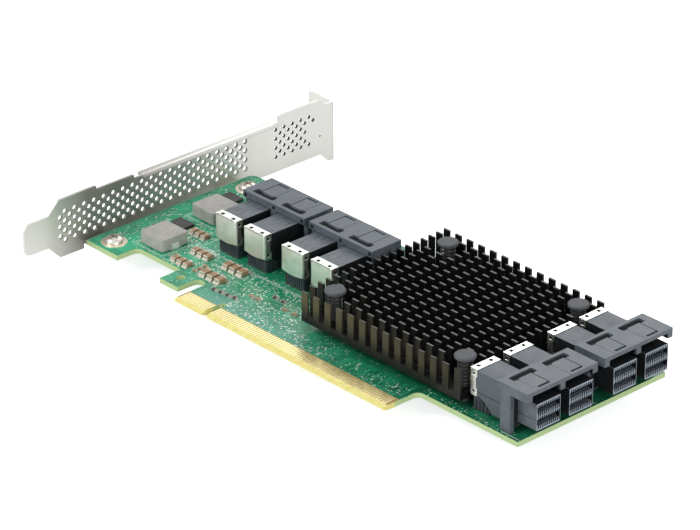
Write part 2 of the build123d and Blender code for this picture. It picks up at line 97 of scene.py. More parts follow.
# Bracket sheet: the plate stands in Y and Z, with the tongue at its low Y end
SHEET_T = 0.86
BEND_R = 0.25
FOLD = SHEET_T + BEND_R
PLATE_GAP = 2.45
PLATE_Z0, PLATE_Z1 = -4.0, 14.42
TONGUE_Y, TONGUE_Z0, TONGUE_Z1, TONGUE_R = -15.8, 0.3, 10.4, 2.4
NECK_Y, SHOULDER_Y = -7.0, -2.8
STEP_Z = 13.32
EARS_Y, EAR_HALF, EAR_X1 = (10.1, 61.6), 4.1, -46.0
EAR_BEND_Z = -2.43
EAR_HOLE_X, EAR_HOLE_R = -51.0, 1.25
LIP_Y0, LIP_Y1, LIP_Z, LIP_L = 28.8, 81.3, 12.12, 2.0
FLANGE_Y, FLANGE_Z0, FLANGE_TOP = 104.5, -7.2, 12.2
NOTCH_OUT, NOTCH_DEPTH, NOTCH_HALF = 5.6, 5.6, 2.2

# Vents: a long field of whole holes, a short field of smaller ones, and a pit beside it
VENT_ROW = 3.0
VENT_TOP, VENT_TOP_BETWEEN = 10.15, 8.65
LONG_Y, LONG_PITCH, LONG_COLUMNS = -2.45, 1.81, 40
SHORT_Y, SHORT_PITCH, SHORT_COLUMNS, SHORT_SHARE = 80.3, 1.67, 8, 0.7
PIT = (98.2, 2.4, 0.3)

# Socket block: U towards the mouth, W across, Z up, U = 0 at the mouths
HALF_W = 13.1
PORTS = (-6.1, 6.1)
NOSE_W, NOSE_H, NOSE_L, NOSE_Z0 = 8.9, 8.0, 7.0, 2.9
SLOT_HALF_W = 4.22
SLOT_Z, SLOT_H, SILL_H, TOOTH_H = 1.8, 1.64, 1.0, 0.62
HOOD_Z1, HOOD_T, HOOD_BACK, HOOD_FRONT = 14.4, 1.2, 12.1, 0.9
HOOD_Z0 = HOOD_Z1 - HOOD_T
BULKHEAD_T = 1.0
SPINE_T, SPINE_H, LUG_T, LUG_H = 2.4, 8.2, 1.8, 2.0
LEG_T, LEG_L = 1.5, 3.7
CHEEK_T, CHEEK_H = 1.9, 2.8
LATCH_U = HOOD_T - HOOD_BACK
LATCH_L, LATCH_HALF_W, LATCH_DEPTH = 2.4, 4.3, 1.0
GROOVE_U = -HOOD_FRONT - 1.0
GROOVE_DEPTH = 0.6
WINDOWS_W = (1.2 - HALF_W, 0, HALF_W - 1.2)
WINDOW_HALF_W, WINDOW_Z0, WINDOW_Z1, WINDOW_L = 0.55, 12.55, 13.7, 0.7
CAP_TOP, CAP_BACK, CAP_L, CAP_W, CAP_Z0, TIN_T = 12.3, 25.0, 2.8, 9.0, 4.3, 0.25
CAP_FOLD = 0.6
CAP_HOLES_W, CAP_HOLE_HALF = (-2.3, 2.3), 0.6
CHEEK_HOLES_Z, CHEEK_HOLE_HALF = (5.7, 10.9), 0.45
WAFER_W, WAFER_TOP, WAFER_FOOT = 8.5, 12.05, 0.9
HEEL_Z, HEEL_L, HEEL_FLAT = 4.6, 8.0, 2.0
SEAM_Z, SEAM_H = 5.7, 0.2
ORGANIZER_HALF_W, ORGANIZER_BACK = 4.0, 1.0 - CAP_BACK

# Board parts: rows of ceramic capacitors, rows of the smallest parts, and two chips
CERAMIC_ROWS = (  # middle X and Y, pitch, size against the largest
    (-37.2, 30.7, 2.5, 0.78), (-27.0, 22.9, 2.7, 0.85), (-27.5, 15.6, 2.6, 0.8),
    (-14.1, 15.7, 3.1, 0.96), (-13.3, 23.4, 3.1, 0.96),
)
SMALL_ROWS = (  # first X and Y, step to the next, how many
    ((-20.8, 14.8), (0, 2.0), 3), ((-8.5, 11.2), (2.6, 0.3), 4), ((1.8, 16.2), (2.4, 0), 2),
    ((7.0, 20.4), (3.4, 0), 2), ((14.2, 17.6), (4.0, 0), 2), ((-50.5, 22.4), (0, 2.6), 2),
)
CHIPS_AT = ((-45.5, 31.2), (-48.5, 52.8))
CHIP_HALF_L, CHIP_HALF_W, CHIP_LEADS, LEAD_PITCH = 3.1, 2.1, 5, 1.2

# Tones that one finish uses
# Painted light: the lighter trace tone towards the bracket end.
LIT_TRACE = (0.16, 0.56, 0.36, 1)
MASK_HAZE = (0.15, 0.41, 0.34, 1)
PAD_TONE = (0.46, 0.66, 0.54, 1)
BARE_BOARD = ((0.42, 0.28, 0.10, 1), (0.52, 0.36, 0.15, 1))
GILT_EDGE = ((0.84, 0.72, 0.22, 1), (0.95, 0.87, 0.36, 1))
# Painted reflection: the darker tone of the bracket's vented length.
REFLECTION_PAINT_SHEET = (0.205, 0.185, 0.17, 1)
SCREW_TONE = (0.62, 0.58, 0.52)
RING_TONE = (0.90, 0.76, 0.62)
# Painted light on the heat sink's first row of pins, and a painted highlight on their tops.
PIN_ROW_LIGHT_PAINT = (0.078, 0.070, 0.040, 1)
PIN_TOP_HIGHLIGHT = (0.11, 0.108, 0.105, 1)
CARRIER_TONE = (0.01, 0.10, 0.06)
LID_TONE = (0.7, 0.7, 0.68)
PAD_COMPOUND = (0.35, 0.4, 0.5)
SPRING_TONE = (0.05, 0.05, 0.047)
FLOOR_TONES = ((0.93, 0.93, 0.93, 1), (0.95, 0.95, 0.95, 1))
WHITE = (1, 1, 1, 1)

# Stage: each light's name, place and size in millimetres, and power in watts
LIGHTS = (
    ("key", (-350, -620, 720), 600, 5.4),
    ("back", (-300, 650, 600), 500, 2.0),
    ("front", (800, -200, 250), 500, 2.4),
)
LIGHTS_AIM = (25, 35, 0)
WORLD_LIGHT = 0.36
FLOOR_GLOW, FLOOR_GLOW_TO_CAMERA = 0.2, 0.55
FLOOR_HALF_W, FLOOR_T, FLOOR_GAP = 3000, 20.0, 0.05

# Camera, in millimetres and degrees, fitted to the photo
CAMERA_AT = (735.43, -626.82, 507.86)
CAMERA_TURN = 47.1526
CAMERA_RISE = 27.0444
LENS_MM = 202.06
SENSOR_MM = 36.0


def node_mm(name):
    """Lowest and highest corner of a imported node, in millimetres."""
    low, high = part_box(name)
    return low / MM, high / MM


def block_place(name):
    """Where a socket block's own frame stands on the board."""
    low, high = node_mm("socket_housing_" + name)
    middle = (low + high) / 2
    if name.startswith("end"):
        return Matrix.Translation((high.x, middle.y, 0))
    return Matrix.Translation((middle.x, high.y, 0)) @ Matrix.Rotation(math.radians(90), 4, "Z")


BLOCKS = {name: block_place(name) for name in ("end_near", "end_far", "top_left", "top_right")}


def ports():
    """Each port's block, its number there, its middle across the block, and the block's place."""
    for name, place in BLOCKS.items():
        for number, w in enumerate(PORTS, 1):
            yield name, number, w, place


def side_on(y):
    """Stands an outline up in X and Z, to run along Y from here."""
    return Matrix(((1, 0, 0, 0), (0, 0, 1, y), (0, 1, 0, 0), (0, 0, 0, 1)))


def end_on(x, y=0.0, z=0.0):
    """Stands an outline up in Y and Z about this point, to run along X from here."""
    return Matrix(((0, 0, 1, x), (1, 0, 0, y), (0, 1, 0, z), (0, 0, 0, 1)))


class Shape:
    """Mesh code for one piece, in millimetres."""

    def __init__(self):
        self.mesh = bmesh.new()

    def add(self, points, faces, finish=0, edge=0.0):
        """New faces on new points, with their edges softened by a small chamfer."""
        verts = [self.mesh.verts.new(point) for point in points]
        made = [self.mesh.faces.new([verts[i] for i in face]) for face in faces]
        for face in made:
            face.material_index = finish
        if edge:
            edges = list({e for face in made for e in face.edges})
            bmesh.ops.bevel(self.mesh, geom=edges, offset=edge, segments=1, profile=0.5,
                            affect="EDGES", clamp_overlap=True, material=-1)

    def prism(self, outline, low, high, place=Matrix(), finish=0, edge=0.0):
        """A straight prism on an outline in x and y, between two heights."""
        count = len(outline)
        points = [place @ Vector((x, y, z)) for z in (low, high) for x, y in outline]
        sides = [(i, (i + 1) % count, count + (i + 1) % count, count + i) for i in range(count)]
        caps = [tuple(reversed(range(count))), tuple(range(count, 2 * count))]
        self.add(points, caps + sides, finish, edge)

    def box(self, x0, x1, y0, y1, z0, z1, place=Matrix(), finish=0, edge=0.0):
        """A box between two corners."""
        self.prism(((x0, y0), (x1, y0), (x1, y1), (x0, y1)), z0, z1, place, finish, edge)

    def turn(self, profile, centre, sides, place=Matrix(), finish=0):
        """A turned form, from (radius, height) points round an upright axis."""
        x, y = centre
        points, rings = [], []
        for radius, z in profile:
            count = sides if radius else 1
            rings.append((len(points), count))
            for i in range(count):
                angle = 2 * math.pi * i / sides
                point = Vector((x + radius * math.cos(angle), y + radius * math.sin(angle), z))
                points.append(place @ point)
        faces = []
        for (a, count_a), (b, count_b) in zip(rings, rings[1:]):
            for i in range(sides):
                j = (i + 1) % sides
                ring = [a + i % count_a, a + j % count_a, b + j % count_b, b + i % count_b]
                faces.append(tuple(dict.fromkeys(ring)))
        self.add(points, faces, finish)

    def tube(self, path, radius, sides, finish=0):
        """A round wire along a path, closed at both ends."""
        points, faces = [], []
        for i, point in enumerate(path):
            ahead = path[min(i + 1, len(path) - 1)] - path[max(i - 1, 0)]
            side = ahead.cross(Vector((0, 0, 1))).normalized()
            up = side.cross(ahead).normalized()
            for k in range(sides):
                angle = 2 * math.pi * k / sides
                points.append(point + (side * math.cos(angle) + up * math.sin(angle)) * radius)
        for i in range(len(path) - 1):
            for k in range(sides):
                n = (k + 1) % sides
                faces.append((i * sides + k, i * sides + n, (i + 1) * sides + n,
                              (i + 1) * sides + k))
        last = (len(path) - 1) * sides
        faces += [tuple(range(sides)), tuple(last + k for k in reversed(range(sides)))]
        self.add(points, faces, finish)

    def sheet(self, outline, holes, thickness, place=Matrix(), finish=0, edge=0.05):
        """A flat sheet with holes: outline in x and y, thickness up from z = 0."""
        curve = bpy.data.curves.new("sheet", "CURVE")
        curve.dimensions = "2D"
        curve.fill_mode = "BOTH"
        curve.extrude = thickness / 2 - edge
        curve.bevel_depth = edge
        curve.bevel_resolution = 0
        curve.offset = -edge
        for points in (outline, *holes):
            spline = curve.splines.new("POLY")
            spline.points.add(len(points) - 1)
            for point, (x, y) in zip(spline.points, points):
                point.co = (x, y, 0, 1)
            spline.use_cyclic_u = True
        carrier = bpy.data.objects.new("sheet", curve)
        bpy.context.scene.collection.objects.link(carrier)
        solid = carrier.evaluated_get(bpy.context.evaluated_depsgraph_get())
        mesh = bpy.data.meshes.new_from_object(solid)
        mesh.transform(place @ Matrix.Translation((0, 0, thickness / 2)))
        self.take(mesh, finish)
        bpy.data.objects.remove(carrier)
        bpy.data.curves.remove(curve)

    def take(self, mesh, finish=0):
        """Adds another mesh's faces."""
        before = len(self.mesh.faces)
        self.mesh.from_mesh(mesh)
        self.mesh.faces.ensure_lookup_table()
        for face in self.mesh.faces[before:]:
            face.material_index = finish
        bpy.data.meshes.remove(mesh)

    def to_mesh(self, name):
        """A mesh data block with clean joints and outward faces."""
        bmesh.ops.remove_doubles(self.mesh, verts=self.mesh.verts, dist=0.002)
        bmesh.ops.recalc_face_normals(self.mesh, faces=self.mesh.faces)
        mesh = bpy.data.meshes.new(name)
        self.mesh.to_mesh(mesh)
        return mesh


def rounded(corners, steps=4):
    """An outline from (x, y, radius) corners, each radius drawn as a short arc."""
    outline = []
    for i, (x, y, radius) in enumerate(corners):
        corner = Vector((x, y))
        if not radius:
            outline.append((x, y))
            continue
        back = (Vector(corners[i - 1][:2]) - corner).normalized()
        ahead = (Vector(corners[(i + 1) % len(corners)][:2]) - corner).normalized()
        half = back.angle(ahead) / 2
        centre = corner + (back + ahead).normalized() * radius / math.sin(half)
        start = corner + back * radius / math.tan(half) - centre
        sweep = start.angle_signed(corner + ahead * radius / math.tan(half) - centre)
        for k in range(steps + 1):
            outline.append(tuple(centre + Matrix.Rotation(-sweep * k / steps, 2) @ start))
    return outline


def ring(x, y, radius, sides=20):
    """A round outline."""
    return [(x + radius * math.cos(2 * math.pi * i / sides),
             y + radius * math.sin(2 * math.pi * i / sides)) for i in range(sides)]


def square(x, y, half):
    """A square outline."""
    return [(x - half, y - half), (x + half, y - half), (x + half, y + half), (x - half, y + half)]


def boxed(*corners):
    """A box on its own, to be joined to a solid or cut out of one."""
    shape = Shape()
    shape.box(*corners)
    return shape


def loose(shape):
    """A helper object for the joining and cutting of solids."""
    carrier = bpy.data.objects.new("helper", shape.to_mesh("helper"))
    bpy.context.scene.collection.objects.link(carrier)
    return carrier


def moulded(solids, cuts, edge):
    """One moulded body: the solids joined, the cuts taken out, and its edges softened."""
    carrier = loose(solids[0])
    helpers, groups = [carrier], []
    for operation, shapes in (("UNION", solids[1:]), ("DIFFERENCE", cuts)):
        group = bpy.data.collections.new(operation)
        groups.append(group)
        for shape in shapes:
            helper = loose(shape)
            helpers.append(helper)
            group.objects.link(helper)
        modifier = carrier.modifiers.new(operation, "BOOLEAN")
        modifier.operation = operation
        modifier.operand_type = "COLLECTION"
        modifier.collection = group
        modifier.solver = "EXACT"
    solid = carrier.evaluated_get(bpy.context.evaluated_depsgraph_get())
    body = Shape()
    body.take(bpy.data.meshes.new_from_object(solid))
    for helper in helpers:
        bpy.data.objects.remove(helper)
    for group in groups:
        bpy.data.collections.remove(group)
    body_mesh = body.mesh
    bmesh.ops.remove_doubles(body_mesh, verts=body_mesh.verts, dist=0.005)
    bmesh.ops.dissolve_limit(body_mesh, angle_limit=math.radians(1), verts=body_mesh.verts,
                             edges=body_mesh.edges)
    corners = [e for e in body_mesh.edges
               if len(e.link_faces) == 2 and e.calc_face_angle() > math.radians(40)]
    bmesh.ops.bevel(body_mesh, geom=corners, offset=edge, segments=1, profile=0.5,
                    affect="EDGES", clamp_overlap=True, material=-1)
    return body


def piece(name, shape, finishes, replaced=(), place=Matrix()):
    """A finished piece of the card, in metres, which rides on the card's one body."""
    mesh = shape.to_mesh(name)
    mesh.transform(Matrix.Scale(MM, 4) @ place)
    for finish in finishes:
        mesh.materials.append(finish)
    mesh.shade_smooth()
    mesh.set_sharp_from_angle(angle=math.radians(35))
    obj = bpy.data.objects.new(name, mesh)
    bpy.context.scene.collection.objects.link(obj)
    if replaced:
        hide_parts(*replaced)
    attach(obj, "root")
    return obj


class Finish:
    """A procedural material, wired node by node on the piece's own coordinates."""

    def __init__(self, name, roughness, metallic=0.0, specular=0.5):
        self.material = bpy.data.materials.new(name)
        self.material.use_nodes = True
        self.tree = self.material.node_tree
        self.shader = self.tree.nodes["Principled BSDF"]
        self.shader.inputs["Roughness"].default_value = roughness
        self.shader.inputs["Metallic"].default_value = metallic
        self.shader.inputs["Specular IOR Level"].default_value = specular
        self.place = self.tree.nodes.new("ShaderNodeTexCoord")

    def node(self, kind, inputs=None, **settings):
        """A new node with its settings, and its inputs set or linked."""
        node = self.tree.nodes.new(kind)
        for key, value in settings.items():
            setattr(node, key, value)
        for key, value in (inputs or {}).items():
            if isinstance(value, bpy.types.NodeSocket):
                self.tree.links.new(value, node.inputs[key])
            else:
                node.inputs[key].default_value = value
        return node

    def noise(self, size_mm, stretch=(1, 1, 1), detail=3.0):
        """Soft random pattern with features of about one size."""
        scale = [1 / (MM * size_mm * s) for s in stretch]
        mapping = self.node("ShaderNodeMapping", {"Vector": self.place.outputs["Object"],
                                                  "Scale": scale})
        noise = self.node("ShaderNodeTexNoise", {"Vector": mapping.outputs["Vector"], "Scale": 1.0,
                                                 "Detail": detail})
        return noise.outputs["Fac"]

    def span(self, value, low, high, to_low=0.0, to_high=1.0):
        """A value carried from one range to another."""
        node = self.node("ShaderNodeMapRange", {"Value": value, "From Min": low, "From Max": high,
                                                "To Min": to_low, "To Max": to_high})
        return node.outputs["Result"]

    def sum(self, first, second, operation):
        """Two values put together by a sum of arithmetic."""
        return self.node("ShaderNodeMath", {0: first, 1: second}, operation=operation).outputs[0]

    def where(self):
        """The surface point's three coordinates, in metres."""
        spot = self.node("ShaderNodeSeparateXYZ", {"Vector": self.place.outputs["Object"]})
        return [spot.outputs[axis] for axis in "XYZ"]

    def ramp(self, coordinate, low_mm, high_mm, to_low=0.0, to_high=1.0):
        """A value that changes along a coordinate, between two places in millimetres."""
        return self.span(coordinate, low_mm * MM, high_mm * MM, to_low, to_high)

    def lines(self, along, pitch_mm):
        """Thin parallel lines across one coordinate, at one pitch."""
        fold = self.sum(along, pitch_mm / 2 * MM, "PINGPONG")
        return self.ramp(fold, pitch_mm * 0.13, pitch_mm * 0.17, 1.0, 0.0)

    def mix(self, factor, first, second):
        """Two colours blended by a factor."""
        node = self.node("ShaderNodeMix", data_type="RGBA")
        for socket, value in ((node.inputs["Factor"], factor), (node.inputs[6], first),
                              (node.inputs[7], second)):
            if isinstance(value, bpy.types.NodeSocket):
                self.tree.links.new(value, socket)
            else:
                socket.default_value = value
        return node.outputs[2]

    def wire(self, output, name):
        """Links an output to one of the shader's inputs."""
        self.tree.links.new(output, self.shader.inputs[name])

    def bump(self, height, depth_mm, strength=0.5):
        """A surface relief of about one depth."""
        node = self.node("ShaderNodeBump", {"Height": height, "Distance": depth_mm * MM,
                                            "Strength": strength})
        self.wire(node.outputs["Normal"], "Normal")


def shade(colour, factor):
    """A colour made lighter or darker."""
    return tuple(min(1.0, c * factor) for c in colour[:3]) + (1.0,)


def cast_finish(name, colour, roughness, metallic=0.0, specular=0.5, grain_mm=0.3, depth_mm=0.01,
                patch_mm=6.0, spread=0.14):
    """A moulded, cast or plated surface: soft patches of tone, and a fine even grain."""
    made = Finish(name, roughness, metallic, specular)
    patches = made.span(made.noise(patch_mm), 0.3, 0.7)
    grain = made.noise(grain_mm, detail=2.0)
    tone = made.mix(patches, shade(colour, 1 - spread), shade(colour, 1 + spread))
    flecks = made.mix(made.span(grain, 0.35, 0.75), tone, shade(colour, 1 + 2 * spread))
    made.wire(made.mix(0.3, tone, flecks), "Base Color")
    made.wire(made.span(patches, 0, 1, roughness * 0.85, min(1.0, roughness * 1.2)), "Roughness")
    made.bump(grain, depth_mm)
    return made.material


def copper_pattern(made, x, y):
    """Patches of copper, and parallel traces that run one way or the other over them."""
    cells = made.node("ShaderNodeTexVoronoi", {"Vector": made.place.outputs["Object"],
                                               "Scale": 1 / (6.5 * MM)}, distance="CHEBYCHEV")
    pour = made.span(cells.outputs["Distance"], 0.36, 0.40)
    choice = made.node("ShaderNodeSeparateColor", {"Color": cells.outputs["Color"]})
    turn = made.span(choice.outputs["Red"], 0.49, 0.51)
    along_x = made.sum(made.lines(y, 0.9), turn, "MULTIPLY")
    along_y = made.sum(made.lines(x, 0.9), made.span(turn, 0, 1, 1, 0), "MULTIPLY")
    traces = made.sum(along_x, along_y, "ADD")
    return pour, made.sum(traces, made.span(choice.outputs["Green"], 0.30, 0.34), "MULTIPLY")


def pad_pattern(made, x):
    """Small pads in groups, fewer towards the far end."""
    cells = made.node("ShaderNodeTexVoronoi", {"Vector": made.place.outputs["Object"],
                                               "Scale": 1 / (1.15 * MM)})
    pads = made.span(cells.outputs["Distance"], 0.19, 0.26, 1.0, 0.0)
    groups = made.span(made.noise(4.0, detail=1.0), 0.43, 0.49)
    return made.sum(pads, made.sum(groups, made.ramp(x, 25, 75, 1.0, 0.2), "MULTIPLY"), "MULTIPLY")


def mask_colour(made, look, x, y, pour, traces):
    """Solder mask, lighter towards the bracket and darker towards the far end as painted light and
    shade, and hazy beside the contacts.
    """
    clouds = made.sum(made.span(made.noise(16.0), 0.35, 0.65), 0.4, "MULTIPLY")
    # Painted light and shade: the mask and its traces are lit towards the bracket and shaded
    # towards the far end.
    bracket_end_light_paint = made.ramp(x, -55, 60, 1.0, 0.0)
    copper = made.mix(bracket_end_light_paint, shade(look.mask, 0.68), shade(look.mask, 1.85))
    gaps = made.mix(bracket_end_light_paint, shade(look.mask, 0.45), shade(look.mask, 1.25))
    mask = made.mix(pour, made.mix(clouds, copper, gaps), gaps)
    mask = made.mix(made.sum(traces, 0.45, "MULTIPLY"), mask,
                    made.mix(bracket_end_light_paint, shade(look.mask, 1.3), LIT_TRACE))
    haze = made.sum(made.ramp(y, 15, 8), made.ramp(x, 48, 18), "MULTIPLY")
    haze = made.sum(haze, made.ramp(x, -16, -6, 0.0, 0.65), "MULTIPLY")
    mask = made.mix(haze, mask, MASK_HAZE)
    return made.mix(made.sum(pad_pattern(made, x), 0.8, "MULTIPLY"), mask, PAD_TONE)


def edge_colour(made, look, y, right):
    """Woven laminate on the board's cut edges, and gilt along the contact edge."""
    weave = made.node("ShaderNodeTexWave", {"Vector": made.place.outputs["Object"],
                                            "Scale": 1 / (1.1 * MM), "Distortion": 2.0},
                      bands_direction="Z")
    layers = made.mix(made.span(weave.outputs["Fac"], 0.2, 0.8), shade(look.laminate, 0.84),
                      shade(look.laminate, 1.0))
    gilt = made.mix(made.span(made.noise(2.0), 0.3, 0.7), *GILT_EDGE)
    return made.mix(right, layers, made.mix(made.ramp(y, 3.4, 4.6), gilt, layers))


def board_finish(look):
    """Solder mask over pours, traces and pads, and bare laminate at the contacts and edges."""
    made = Finish("solder_mask", 0.22, 0.0, 0.35)
    normal = made.node("ShaderNodeSeparateXYZ", {"Vector": made.place.outputs["Normal"]})
    face = made.span(made.sum(normal.outputs["Z"], 0.0, "ABSOLUTE"), 0.96, 0.97)
    x, y, _ = made.where()
    above = made.ramp(y, MASK_Y0, MASK_Y0 + 0.1)
    right = made.ramp(x, CONTACT_EDGE_X0, CONTACT_EDGE_X0 + 0.1)
    masked = made.span(made.sum(above, right, "SUBTRACT"), -1.0, 0.0)
    pour, traces = copper_pattern(made, x, y)
    bare = made.mix(made.span(made.noise(1.5), 0.3, 0.7), *BARE_BOARD)
    faces = made.mix(masked, bare, mask_colour(made, look, x, y, pour, traces))
    made.wire(made.mix(face, edge_colour(made, look, y, right), faces), "Base Color")
    made.wire(made.span(face, 0, 1, 0.7, 0.22), "Roughness")
    made.bump(made.sum(pour, traces, "ADD"), 0.02, 0.3)
    return made.material


def wafer_finish(name, colour, roughness):
    """Moulded wafer plastic with faint flow lines along the wafers."""
    made = Finish(name, roughness)
    lines = made.noise(0.5, (1, 8, 1), 3.0)
    patches = made.span(made.noise(4.0), 0.3, 0.7)
    tone = made.mix(patches, shade(colour, 1.0), shade(colour, 1.3))
    made.wire(made.mix(made.span(lines, 0.4, 0.62), shade(colour, 0.62), tone), "Base Color")
    made.wire(made.span(lines, 0.3, 0.7, roughness * 0.9, roughness * 1.15), "Roughness")
    made.bump(lines, 0.01)
    return made.material


def colour_property(name, description, default):
    """A colour that a user may change."""
    return FloatVectorProperty(name=name, description=description, default=default,
                               subtype="COLOR", size=3, min=0.0, max=1.0)


def length_property(name, description, millimetres):
    """A length that a user may change, kept in metres."""
    return FloatProperty(name=name, description=description, default=millimetres * MM,
                         min=0.0, unit="LENGTH", precision=5)


class CardLook(bpy.types.PropertyGroup):
    """Colours of the card."""

    mask: colour_property("Solder mask", "Green of the board's faces", (0.020, 0.27, 0.135))
    laminate: colour_property("Laminate", "Colour of the board's cut edges", (0.55, 0.72, 0.36))
    gold: colour_property("Contact gold", "Plating of the edge contacts", (0.98, 0.84, 0.42))
    sheet: colour_property("Bracket steel", "Plating of the bracket", (0.765, 0.77, 0.73))
    sink: colour_property("Heat sink", "Anodised colour of the heat sink", (0.008, 0.008, 0.008))
    socket: colour_property("Socket plastic", "Moulded socket housings", (0.092, 0.110, 0.129))
    # Painted shade: a near-black tone for the faces of sockets, wafers and caps that lie in shade,
    # not a plastic of its own.
    inside: colour_property("Socket inside", "Dark plastic in the sockets", (0.012, 0.013, 0.015))
    wafer: colour_property("Wafer plastic", "Wafer stacks of the top blocks", (0.145, 0.167, 0.192))
    organizer: colour_property("Organizer plastic", "Tail organizers", (0.036, 0.043, 0.054))
    tin: colour_property("Tin", "Plating of the caps and terminals", (0.86, 0.88, 0.81))
    inductor: colour_property("Inductor body", "Moulded powder", (0.40, 0.39, 0.365))
    ceramic: colour_property("Ceramic", "Bodies of the capacitors", (0.33, 0.215, 0.12))
    plated: colour_property("Plated ends", "Ends of the small parts", (0.54, 0.485, 0.40))
    chip: colour_property("Chip plastic", "Moulded chip bodies", (0.03, 0.03, 0.03))
    pin: colour_property("Push pin", "Plastic of the push pins", (0.07, 0.076, 0.087))
    printed: colour_property("Printed lines", "White lines on the board", (0.72, 0.80, 0.76))


class CardSizes(bpy.types.PropertyGroup):
    """Sizes and counts of the fine detail."""

    vent_radius: length_property("Vent radius", "Radius of the bracket's round vents", 0.77)
    contact_width: length_property("Contact width", "Width of one edge contact", 0.74)
    wafer_count: IntProperty(name="Wafers", description="Wafers behind one port", default=10, min=2)
    comb_teeth: IntProperty(name="Comb teeth", description="Teeth on each edge of a card slot",
                            default=12, min=2)
    spring_turns: IntProperty(name="Spring turns", description="Turns of a push pin's spring",
                              default=7, min=2)
    organizer_ribs: IntProperty(name="Organizer ribs", description="Ribs on a tail organizer",
                                default=9, min=2)


def paint(names, material):
    """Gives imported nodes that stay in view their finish."""
    for name in names:
        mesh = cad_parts[name].data
        mesh.materials.clear()
        mesh.materials.append(material)


def soften(name, width_mm):
    """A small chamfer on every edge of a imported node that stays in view."""
    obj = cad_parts[name]
    weld = obj.modifiers.new("weld", "WELD")
    weld.merge_threshold = 0.005 * MM
    bevel = obj.modifiers.new("edges", "BEVEL")
    bevel.width = width_mm * MM
    bevel.segments = 1
    bevel.limit_method = "ANGLE"
    bevel.angle_limit = math.radians(35)


def strip(shape, start, end, width):
    """A flat printed line or trace on the board between two points."""
    a, b = Vector(start), Vector(end)
    side = (b - a).orthogonal().normalized() * width / 2
    shape.prism([tuple(a + side), tuple(a - side), tuple(b - side), tuple(b + side)], 0, PRINT_T)


def strip_round(shape, x0, x1, y0, y1, width):
    """Four printed lines round a part."""
    corners = ((x0, y0), (x1, y0), (x1, y1), (x0, y1))
    for start, end in zip(corners, corners[1:] + corners[:1]):
        strip(shape, start, end, width)


class CARD_OT_board(bpy.types.Operator):
    """Finish the board, with its traces, vias and printed lines"""

    bl_idname = "card.board"
    bl_label = "Board"
    bl_options = {"REGISTER", "UNDO"}

    def execute(self, context):
        """Finishes the board's solid, and lays its traces, pads and prints on it."""
        look = context.scene.card_look
        paint(["circuit_board"], board_finish(look))
        trace = cast_finish("mask_over_trace", shade(look.mask, 1.75), 0.25)
        tinned = cast_finish("via_tin", look.tin, 0.35, 1.0)
        white = cast_finish("printed_line", look.printed, 0.6)
        piece("board_traces", self.traces(), [trace])
        piece("board_vias", self.vias(), [tinned, trace, white])
        piece("board_print", self.lines(), [white])
        return {"FINISHED"}

    def traces(self):
        """Traces that leave the contacts with small bends, and runs towards the sockets."""
        shape = Shape()
        chance = random.Random(11)
        for i in range(CONTACTS_RIGHT):
            x = FIRST_CONTACT + i * CONTACT_PITCH
            y = CONTACT_Y1
            for _ in range(5):
                end_x = x + chance.choice((-0.55, 0.0, 0.0, 0.55, 1.1))
                end_y = min(y + chance.uniform(0.9, 2.2), 13.2)
                strip(shape, (x, y), (end_x, end_y), 0.13)
                x, y = end_x, end_y
        for i in range(16):
            y = 30.0 + 0.95 * i
            self.run(shape, (-55.8, y), (-52.6, y), (-51.0, y + 1.6))
        for i in range(34):
            x = -31.0 + 1.55 * i
            self.run(shape, (x, 13.4), (x + 0.8, 19.4), (x + 0.8, 25.8))
        for i in range(20):
            x = 76.0 + 1.6 * i
            self.run(shape, (x, 13.4), (x + 0.5, 15.2))
        return shape

    def run(self, shape, *points):
        """One trace through a few points."""
        for start, end in zip(points, points[1:]):
            strip(shape, start, end, TRACE_W)

    def vias(self):
        """Small plated holes and pads: thick near the contacts, the inductors and the tails."""
        tinned, masked, white = 0, 1, 2
        shape = Shape()
        chance = random.Random(29)
        for x0, x1, y0, y1, count in PAD_FIELDS:
            for _ in range(count):
                spot = (chance.uniform(x0, x1), chance.uniform(y0, y1))
                kind = chance.random()
                if kind < 0.55:
                    shape.turn([(0.0, PRINT_T), (0.07, PRINT_T)], spot, 6, finish=masked)
                    shape.turn([(0.07, PRINT_T), (0.2, PRINT_T), (0.22, 0.0)], spot, 6,
                               finish=tinned if kind < 0.3 else masked)
                else:
                    long, wide = (0.34, 0.12) if kind < 0.78 else (0.12, 0.34)
                    shape.box(spot[0] - long, spot[0] + long, spot[1] - wide, spot[1] + wide, 0,
                              PRINT_T, finish=white if kind > 0.68 else tinned)
        return shape

    def lines(self):
        """Printed outlines round the inductors, capacitor rows, small parts and socket blocks."""
        shape = Shape()
        for name in ("inductor_lower", "inductor_upper"):
            low, high = node_mm(name)
            for gap, width in ((0.9, 0.16), (1.5, 0.1)):
                strip_round(shape, low.x - gap, high.x + gap, low.y - gap, high.y + gap, width)
        for x, y, pitch, size in CERAMIC_ROWS:
            strip_round(shape, x - 1.65 * pitch, x + 1.65 * pitch, y - 2.3 * size, y + 2.3 * size,
                        0.12)
        caps, _ = node_mm("socket_cap_top_left_1")
        left, right = -31.5, 24.4
        for y in (caps.y - 1.2, caps.y - 1.8):
            strip(shape, (left, y), (right, y), 0.16)
        strip(shape, (left, caps.y - 1.2), (left, 52.0), 0.2)
        for name in ("end_near", "end_far"):
            low, high = node_mm("socket_housing_" + name)
            strip(shape, (low.x + 2.0, low.y - 0.35), (high.x - 3.2, low.y - 0.35), 0.16)
            strip(shape, (high.x - 6.0, high.y + 0.35), (high.x - 3.2, high.y + 0.35), 0.16)
        for first, step, count in SMALL_ROWS:
            for i in range(count):
                x, y = first[0] + step[0] * i, first[1] + step[1] * i
                for side in (y - 0.62, y + 0.62):
                    strip(shape, (x - 1.25, side), (x + 1.25, side), 0.1)
        return shape


